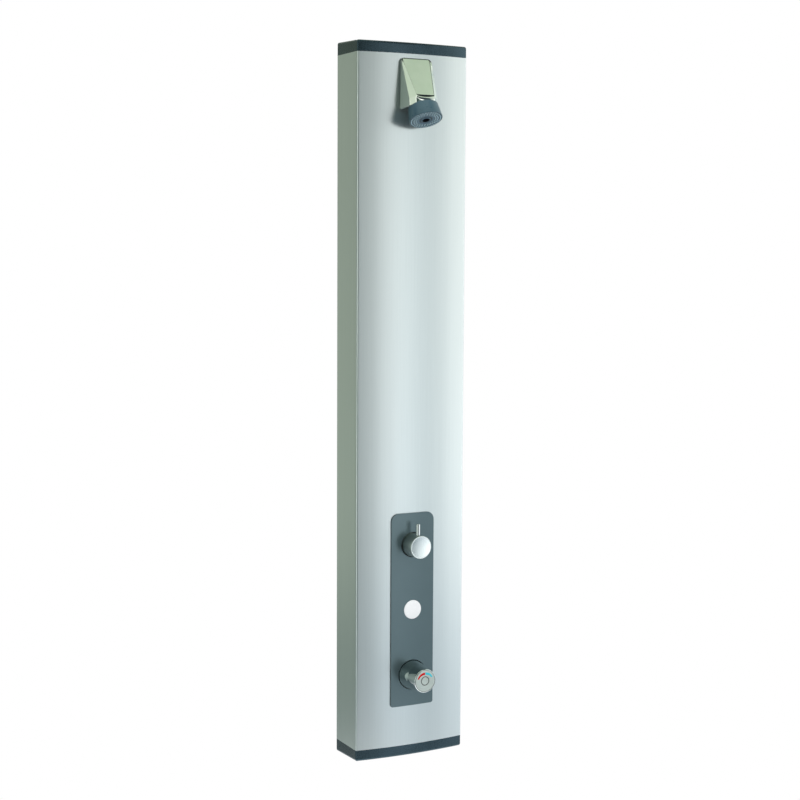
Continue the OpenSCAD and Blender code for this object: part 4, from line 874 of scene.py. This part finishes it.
def build_cup():
    """The cup: a turned shell, open below, with its neck on top."""
    inner, inner_top, shelf, shelf_t = CUP_R - CUP_WALL, CUP_H - CUP_WALL, 3.45, 1.6
    neck_r, bore_r, neck_foot, neck_top = 13.4, 10.45, CUP_H + 1.2, CUP_H + 4.2
    outside = [(inner, 0.0, 0.4), (CUP_R, 0.0, 1.1), (CUP_TOP_R, CUP_H, 1.2), (neck_r, neck_foot, 1.0),
               (neck_r, neck_top, 0.3)]
    inside = [(bore_r, neck_top, 0), (bore_r, inner_top, 0), (CUP_TOP_R - CUP_WALL, inner_top, 1.5),
              (inner - shelf_t, shelf, 0), (inner, shelf, 0)]
    bm = lathe_bm(rounded([*outside, *inside], 6), segs=160, place=in_spray)
    return finish_mesh(bm, "spray_cup_moulded", "spray_plastic", "root", 35, ["spray_cup"])


def build_spray_face():
    """The soft face: a rimmed eye, a raised ring, a fine ring and the pans for the nozzles."""
    eye, ridge, fine, edge = 6.3, 11.6, 21.7, CUP_R - CUP_WALL - 0.25
    lip, crest, pan, back, eye_top = -0.6, 0.05, 0.5, 3.4, 11.0
    rim = [(eye, eye_top, 0), (eye, lip, 0.3), (eye + 1.3, lip, 0.4), (eye + 1.6, pan, 0.2)]
    broad = [(ridge - 0.6, pan, 0.2), (ridge - 0.3, crest, 0.15), (ridge + 2.6, crest, 0.15),
             (ridge + 2.9, pan, 0.2)]
    thin = [(fine, pan, 0.1), (fine + 0.1, 0.2, 0.05), (fine + 0.6, 0.2, 0.05), (fine + 0.7, pan, 0.1)]
    skirt = [(edge - 0.7, pan, 0.2), (edge, 0.9, 0.3), (edge, back, 0), (eye + 1.2, back, 0),
             (eye + 1.2, eye_top, 0)]
    bm = lathe_bm(rounded([*rim, *broad, *thin, *skirt], 3), segs=128, place=in_spray)
    centre = Vector(in_spray(0, 0, 0))
    axis = Vector(in_spray(0, 0, 1)) - centre
    ring_index, pan_shade_index, eye_shade_index = 0, 1, 2
    inner_pan, inner_pan_end, outer_pan = 8.2, 11.0, 14.2
    for f in bm.faces:
        away = f.calc_center_median() - centre
        rise = away.dot(axis)
        away = (away - axis * rise).length
        # The eye's walls get a near-black rubber: painted shade of the deep hole.
        if away < eye + 0.4 and rise > lip + 0.2:
            f.material_index = eye_shade_index
        else:
            # The pans get a darker copy of the rubber: painted shade of the nozzles.
            in_shaded_pan = away > outer_pan or inner_pan < away < inner_pan_end
            f.material_index = pan_shade_index if in_shaded_pan else ring_index
    face = finish_mesh(bm, "spray_face_moulded", "spray_rubber", "root", 35, ["spray_face"])
    face.data.materials.append(MAT["spray_pans_painted_shade"].m)
    face.data.materials.append(MAT["spray_eye_painted_shade"].m)
    return face


def build_nozzles():
    """Rings of tapered silicone nozzles that stand out of the face, each with its bore, in a paler copy of
    the face's rubber: painted highlight.
    """
    bore, tip_r, root_r, foot_r, top = 0.45, 1.12, 1.22, 1.35, 1.0
    tip = rounded([(bore, 0.4, 0), (bore, -0.62, 0.08), (tip_r, -0.67, 0.12), (root_r, 0.45, 0.1),
                   (foot_r, 0.55, 0), (foot_r, top, 0), (bore, top, 0)], 2)
    rings = ((0.868, 34, 0.0), (0.722, 28, 0.5), (0.59, 22, 0.25))
    bm = bmesh.new()
    for share, count, turn in rings:
        for i in range(count):
            a = 2 * math.pi * (i + turn) / count
            cx, cy = CUP_R * share * math.cos(a), CUP_R * share * math.sin(a)
            one = lathe_bm(tip, segs=14, place=lambda x, y, h: in_spray(cx + x, cy + y, h))
            merge(bm, one)
    return finish_mesh(bm, "spray_nozzles", "spray_rubber", "root", 35, ["spray_face"], "nozzle_painted_highlight")


# Stage: how bright the drum that metal reflects is, by azimuth in degrees (0 is straight out of the wall, 90
# to the right) and by height in metres
BLACK, WHITE = (0, 0, 0), (1, 1, 1)
DRUM_GAIN = 3.2
DRUM_STOPS = [
    (-180, (0.66, 0.70, 0.60)), (-162, (0.68, 0.74, 0.58)), (-154, (0.44, 0.50, 0.37)),
    (-145, (0.16, 0.20, 0.18)), (-125, (0.09, 0.11, 0.11)), (-97, (0.12, 0.14, 0.14)), (-88, (0.5, 0.5, 0.5)),
    (-82, (3.1, 3.2, 3.0)), (-76, (0.9, 0.98, 0.86)), (-51, (0.86, 0.94, 0.82)), (-45, (0.2, 0.24, 0.23)),
    (-34, (0.07, 0.10, 0.10)), (-8, (0.06, 0.08, 0.07)), (4, (0.03, 0.05, 0.04)), (11, (0.06, 0.12, 0.10)),
    (19, (2.40, 2.34, 2.34)), (24, (1.24, 1.32, 1.34)), (28, (1.16, 1.24, 1.28)), (33.5, (0.04, 0.10, 0.12)),
    (40, (0.94, 0.98, 0.98)), (48, (2.00, 1.96, 1.92)), (62, (1.70, 1.68, 1.66)), (80, (1.24, 1.26, 1.26)),
    (110, (0.70, 0.80, 0.86)), (150, (0.70, 0.74, 0.68)), (180, (0.66, 0.70, 0.60)),
]
DRUM_LEVELS = [
    (-3.4, (0.36, 0.39, 0.43)), (-2.2, (0.50, 0.55, 0.62)), (-1.45, (0.61, 0.66, 0.72)),
    (-0.75, (1.06, 1.07, 1.09)), (0.0, (1.0, 1.0, 1.0)), (0.75, (0.94, 0.94, 0.93)),
    (1.6, (0.88, 0.90, 0.86)), (3.2, (0.8, 0.84, 0.78)),
]


def rays_that_see(tree):
    """1 for camera, glossy and transmission rays, 0 for the rest."""
    path = tree.nodes.new("ShaderNodeLightPath")
    seen = path.outputs["Is Camera Ray"]
    for kind in ("Is Glossy Ray", "Is Transmission Ray"):
        most = tree.nodes.new("ShaderNodeMath")
        most.operation = "MAXIMUM"
        tree.links.new(seen, most.inputs[0])
        tree.links.new(path.outputs[kind], most.inputs[1])
        seen = most.outputs[0]
    return seen


def ramp(tree, value, stops, low, high, top=1.0):
    """Colour by value, through stops of (value, colour) between low and high, over top."""
    span = tree.nodes.new("ShaderNodeMapRange")
    span.inputs["From Min"].default_value = low
    span.inputs["From Max"].default_value = high
    tree.links.new(value, span.inputs["Value"])
    n = tree.nodes.new("ShaderNodeValToRGB")
    n.color_ramp.interpolation = "EASE"
    while len(n.color_ramp.elements) > 1:
        n.color_ramp.elements.remove(n.color_ramp.elements[-1])
    for i, (at, color) in enumerate(stops):
        place = (at - low) / (high - low)
        e = n.color_ramp.elements[0] if i == 0 else n.color_ramp.elements.new(place)
        e.position = place
        e.color = (*[c / top for c in color], 1)
    tree.links.new(span.outputs["Result"], n.inputs["Fac"])
    return n.outputs["Color"]


def by_azimuth(tree, value, stops, top=1.0):
    return ramp(tree, value, stops, -180, 180, top)


def by_height(tree, value, stops):
    return ramp(tree, value, stops, DRUM_FOOT, DRUM_TOP)


def polar(tree):
    """Azimuth in degrees of a point of the stage, seen from the column, its height and its distance."""
    def math_node(kind, *values):
        n = tree.nodes.new("ShaderNodeMath")
        n.operation = kind
        for i, v in enumerate(values):
            if isinstance(v, float):
                n.inputs[i].default_value = v
            else:
                tree.links.new(v, n.inputs[i])
        return n.outputs[0]

    sep = tree.nodes.new("ShaderNodeSeparateXYZ")
    tree.links.new(tree.nodes.new("ShaderNodeNewGeometry").outputs["Position"], sep.inputs[0])
    x, y, z = (sep.outputs[k] for k in "XYZ")
    turn = math_node("ARCTAN2", x, math_node("MULTIPLY", y, -1.0))
    away = math_node("SQRT", math_node("ADD", math_node("MULTIPLY", x, x), math_node("MULTIPLY", y, y)))
    return math_node("MULTIPLY", turn, 180 / math.pi), z, away


def mixed(tree, kind, a, b, fac=None):
    """Two colours, each a socket or a tuple, mixed in full or by fac."""
    n = tree.nodes.new("ShaderNodeMix")
    n.data_type = "RGBA"
    n.blend_type = kind
    if fac is None:
        n.inputs["Factor"].default_value = 1.0
    else:
        tree.links.new(fac, n.inputs["Factor"])
    for socket, v in (("A", a), ("B", b)):
        i = [k for k, q in enumerate(n.inputs) if q.name == socket and q.type == "RGBA"][0]
        if isinstance(v, tuple):
            n.inputs[i].default_value = v
        else:
            tree.links.new(v, n.inputs[i])
    return [q for q in n.outputs if q.type == "RGBA"][0]


def glow_material(name):
    """A material that only emits: itself, its tree and its emission node."""
    m = bpy.data.materials.new(name)
    m.use_nodes = True
    t = m.node_tree
    t.nodes.clear()
    em = t.nodes.new("ShaderNodeEmission")
    t.links.new(em.outputs[0], t.nodes.new("ShaderNodeOutputMaterial").inputs["Surface"])
    return m, t, em


def stage_object(name, bm, z=0.0):
    mesh = bpy.data.meshes.new(name)
    bm.to_mesh(mesh)
    bm.free()
    o = bpy.data.objects.new(name, mesh)
    bpy.context.scene.collection.objects.link(o)
    o.location = (0, 0, z)
    return o


def stage_disc(name, radius, z):
    bm = bmesh.new()
    bmesh.ops.create_circle(bm, cap_ends=True, segments=96, radius=radius)
    return stage_object(name, bm, z)


def only_gloss(o):
    o.visible_camera = False
    o.visible_diffuse = False
    o.visible_shadow = False
    o.visible_transmission = False


def build_floor():
    """A plain pale floor well below the column, which hangs on a wall. It fades into white."""
    floor_r, floor_z, fade_from, fade_to, glow = 2.6, -1.5, 0.7, 1.9, 0.62
    floor = stage_disc("floor", floor_r, floor_z)
    m = Mat("floor_pale", srgb(236, 237, 236), 0.9)
    seen = rays_that_see(m.t)
    lit = m.node("ShaderNodeEmission", Color=(glow, glow, glow, 1))
    white = m.node("ShaderNodeEmission", Color=(1, 1, 1, 1))
    m.link(seen, lit.inputs["Strength"])
    m.link(seen, white.inputs["Strength"])
    near = m.node("ShaderNodeAddShader")
    m.link(m.p.outputs[0], near.inputs[0])
    m.link(lit.outputs[0], near.inputs[1])
    away = m.node("ShaderNodeVectorMath", operation="LENGTH")
    m.link(m.node("ShaderNodeTexCoord").outputs["Object"], away.inputs[0])
    fade = m.node("ShaderNodeMapRange", interpolation_type="SMOOTHSTEP")
    fade.inputs["From Min"].default_value = fade_from
    fade.inputs["From Max"].default_value = fade_to
    m.link(away.outputs["Value"], fade.inputs["Value"])
    mix = m.node("ShaderNodeMixShader")
    m.link(fade.outputs["Result"], mix.inputs[0])
    m.link(near.outputs[0], mix.inputs[1])
    m.link(white.outputs[0], mix.inputs[2])
    m.link(mix.outputs[0], m.t.nodes["Material Output"].inputs["Surface"])
    floor.data.materials.append(m.m)


def build_drum():
    """What metal reflects: a tall drum of soft panels round the column, seen by gloss alone."""
    bm = bmesh.new()
    segs = 96
    turns = [2 * math.pi * k / segs for k in range(segs)]
    low, high = [ring_of(bm, [(DRUM_R * math.sin(t), DRUM_R * math.cos(t), z) for t in turns])
                 for z in (DRUM_FOOT, DRUM_TOP)]
    strip(bm, low, high)
    drum = stage_object("wrap", bm)
    only_gloss(drum)
    m, t, em = glow_material("wrap_panels")
    turn, height, _ = polar(t)
    lit = mixed(t, "MULTIPLY", by_azimuth(t, turn, DRUM_STOPS, DRUM_GAIN), by_height(t, height, DRUM_LEVELS))
    cove = by_height(t, height, [(1.0, BLACK), (1.3, WHITE), (DRUM_TOP, WHITE)])
    front = by_azimuth(t, turn, [(15, BLACK), (19, WHITE), (34, WHITE), (37, BLACK)])
    lit = mixed(t, "MIX", lit, (0.02, 0.025, 0.03, 1), mixed(t, "MULTIPLY", cove, front))
    t.links.new(lit, em.inputs["Color"])
    em.inputs["Strength"].default_value = DRUM_GAIN
    drum.data.materials.append(m)


def build_ceiling():
    """The drum's pale lid, with one dark panel over the front right."""
    ceiling = stage_disc("ceiling", DRUM_R, DRUM_TOP)
    only_gloss(ceiling)
    m, t, em = glow_material("ceiling_panels")
    turn, _, away = polar(t)
    front = by_azimuth(t, turn, [(22, BLACK), (32, WHITE), (68, WHITE), (80, BLACK)])
    over = ramp(t, away, [(1.1, BLACK), (1.5, WHITE), (2.35, WHITE), (2.6, BLACK)], 0, DRUM_R)
    panel = mixed(t, "MULTIPLY", over, front)
    lit = mixed(t, "MIX", (0.72, 0.82, 0.68, 1), (0.03, 0.035, 0.04, 1), panel)
    t.links.new(lit, em.inputs["Color"])
    ceiling.data.materials.append(m)


def build_camera():
    """The camera at the photograph's angle, as the fit of the casing's edges gave it."""
    az, el, roll = (math.radians(a) for a in (CAMERA_AZ, CAMERA_EL, CAMERA_ROLL))
    back = Vector((math.sin(az) * math.cos(el), -math.cos(az) * math.cos(el), math.sin(el)))
    level = (-back).cross(Vector((0, 0, 1))).normalized()
    rise = level.cross(-back)
    right = level * math.cos(roll) + rise * math.sin(roll)
    up = rise * math.cos(roll) - level * math.sin(roll)
    place = [aim + b * CAMERA_AWAY for aim, b in zip(CAMERA_TARGET, back)]
    cam = bpy.data.objects.new("camera", bpy.data.cameras.new("camera"))
    bpy.context.scene.collection.objects.link(cam)
    cam.matrix_world = Matrix((*zip(right, up, back, place), (0, 0, 0, 1)))
    cam.data.lens = SENSOR_MM * FOCAL_PX / PHOTO_PX
    cam.data.sensor_width = SENSOR_MM
    cam.data.clip_start = 0.05
    cam.data.clip_end = 60.0
    bpy.context.scene.camera = cam


def build_world():
    """White surroundings for the camera and for gloss, and a dimmer, cooler light for the rest."""
    world = bpy.data.worlds.new("studio")
    bpy.context.scene.world = world
    world.use_nodes = True
    t = world.node_tree
    t.nodes.clear()
    out = t.nodes.new("ShaderNodeOutputWorld")
    mix = t.nodes.new("ShaderNodeMixShader")
    ambient = t.nodes.new("ShaderNodeBackground")
    white = t.nodes.new("ShaderNodeBackground")
    ambient.inputs["Color"].default_value = (0.93, 0.97, 1.0, 1)
    ambient.inputs["Strength"].default_value = 0.7
    white.inputs["Color"].default_value = (1, 1, 1, 1)
    white.inputs["Strength"].default_value = 1.0
    t.links.new(rays_that_see(t), mix.inputs[0])
    t.links.new(ambient.outputs[0], mix.inputs[1])
    t.links.new(white.outputs[0], mix.inputs[2])
    t.links.new(mix.outputs[0], out.inputs["Surface"])


def lamp(name, loc, width, height, power):
    """A soft lamp aimed at the column's middle, of which metal shows no image."""
    light = bpy.data.lights.new(name, "AREA")
    light.shape = "RECTANGLE"
    light.size = width
    light.size_y = height
    light.energy = power
    o = bpy.data.objects.new(name, light)
    o.location = loc
    o.rotation_mode = "QUATERNION"
    o.rotation_quaternion = (-Vector(loc)).to_track_quat("-Z", "Y")
    o.visible_glossy = False
    bpy.context.scene.collection.objects.link(o)


def build_studio():
    """Camera, white surroundings, floor, what metal reflects and four soft lamps."""
    bpy.context.scene.view_settings.view_transform = "Standard"
    build_camera()
    build_world()
    build_floor()
    build_drum()
    build_ceiling()
    lamp("key", (1.9, -2.4, 0.9), 2.0, 3.0, 35)
    lamp("fill", (-2.3, -1.6, 0.6), 1.4, 2.2, 20)
    lamp("top", (0.2, -0.4, 2.6), 2.0, 2.0, 20)
    lamp("back", (0.6, 2.4, 1.2), 1.8, 2.0, 16)


dress_nodes()
build_flow_knob()
build_flow_pin()
build_thermo_knob()
build_thermo_face()
build_button()
build_bracket()
build_inset()
build_cup()
build_spray_face()
build_nozzles()
build_springs()
build_studio()
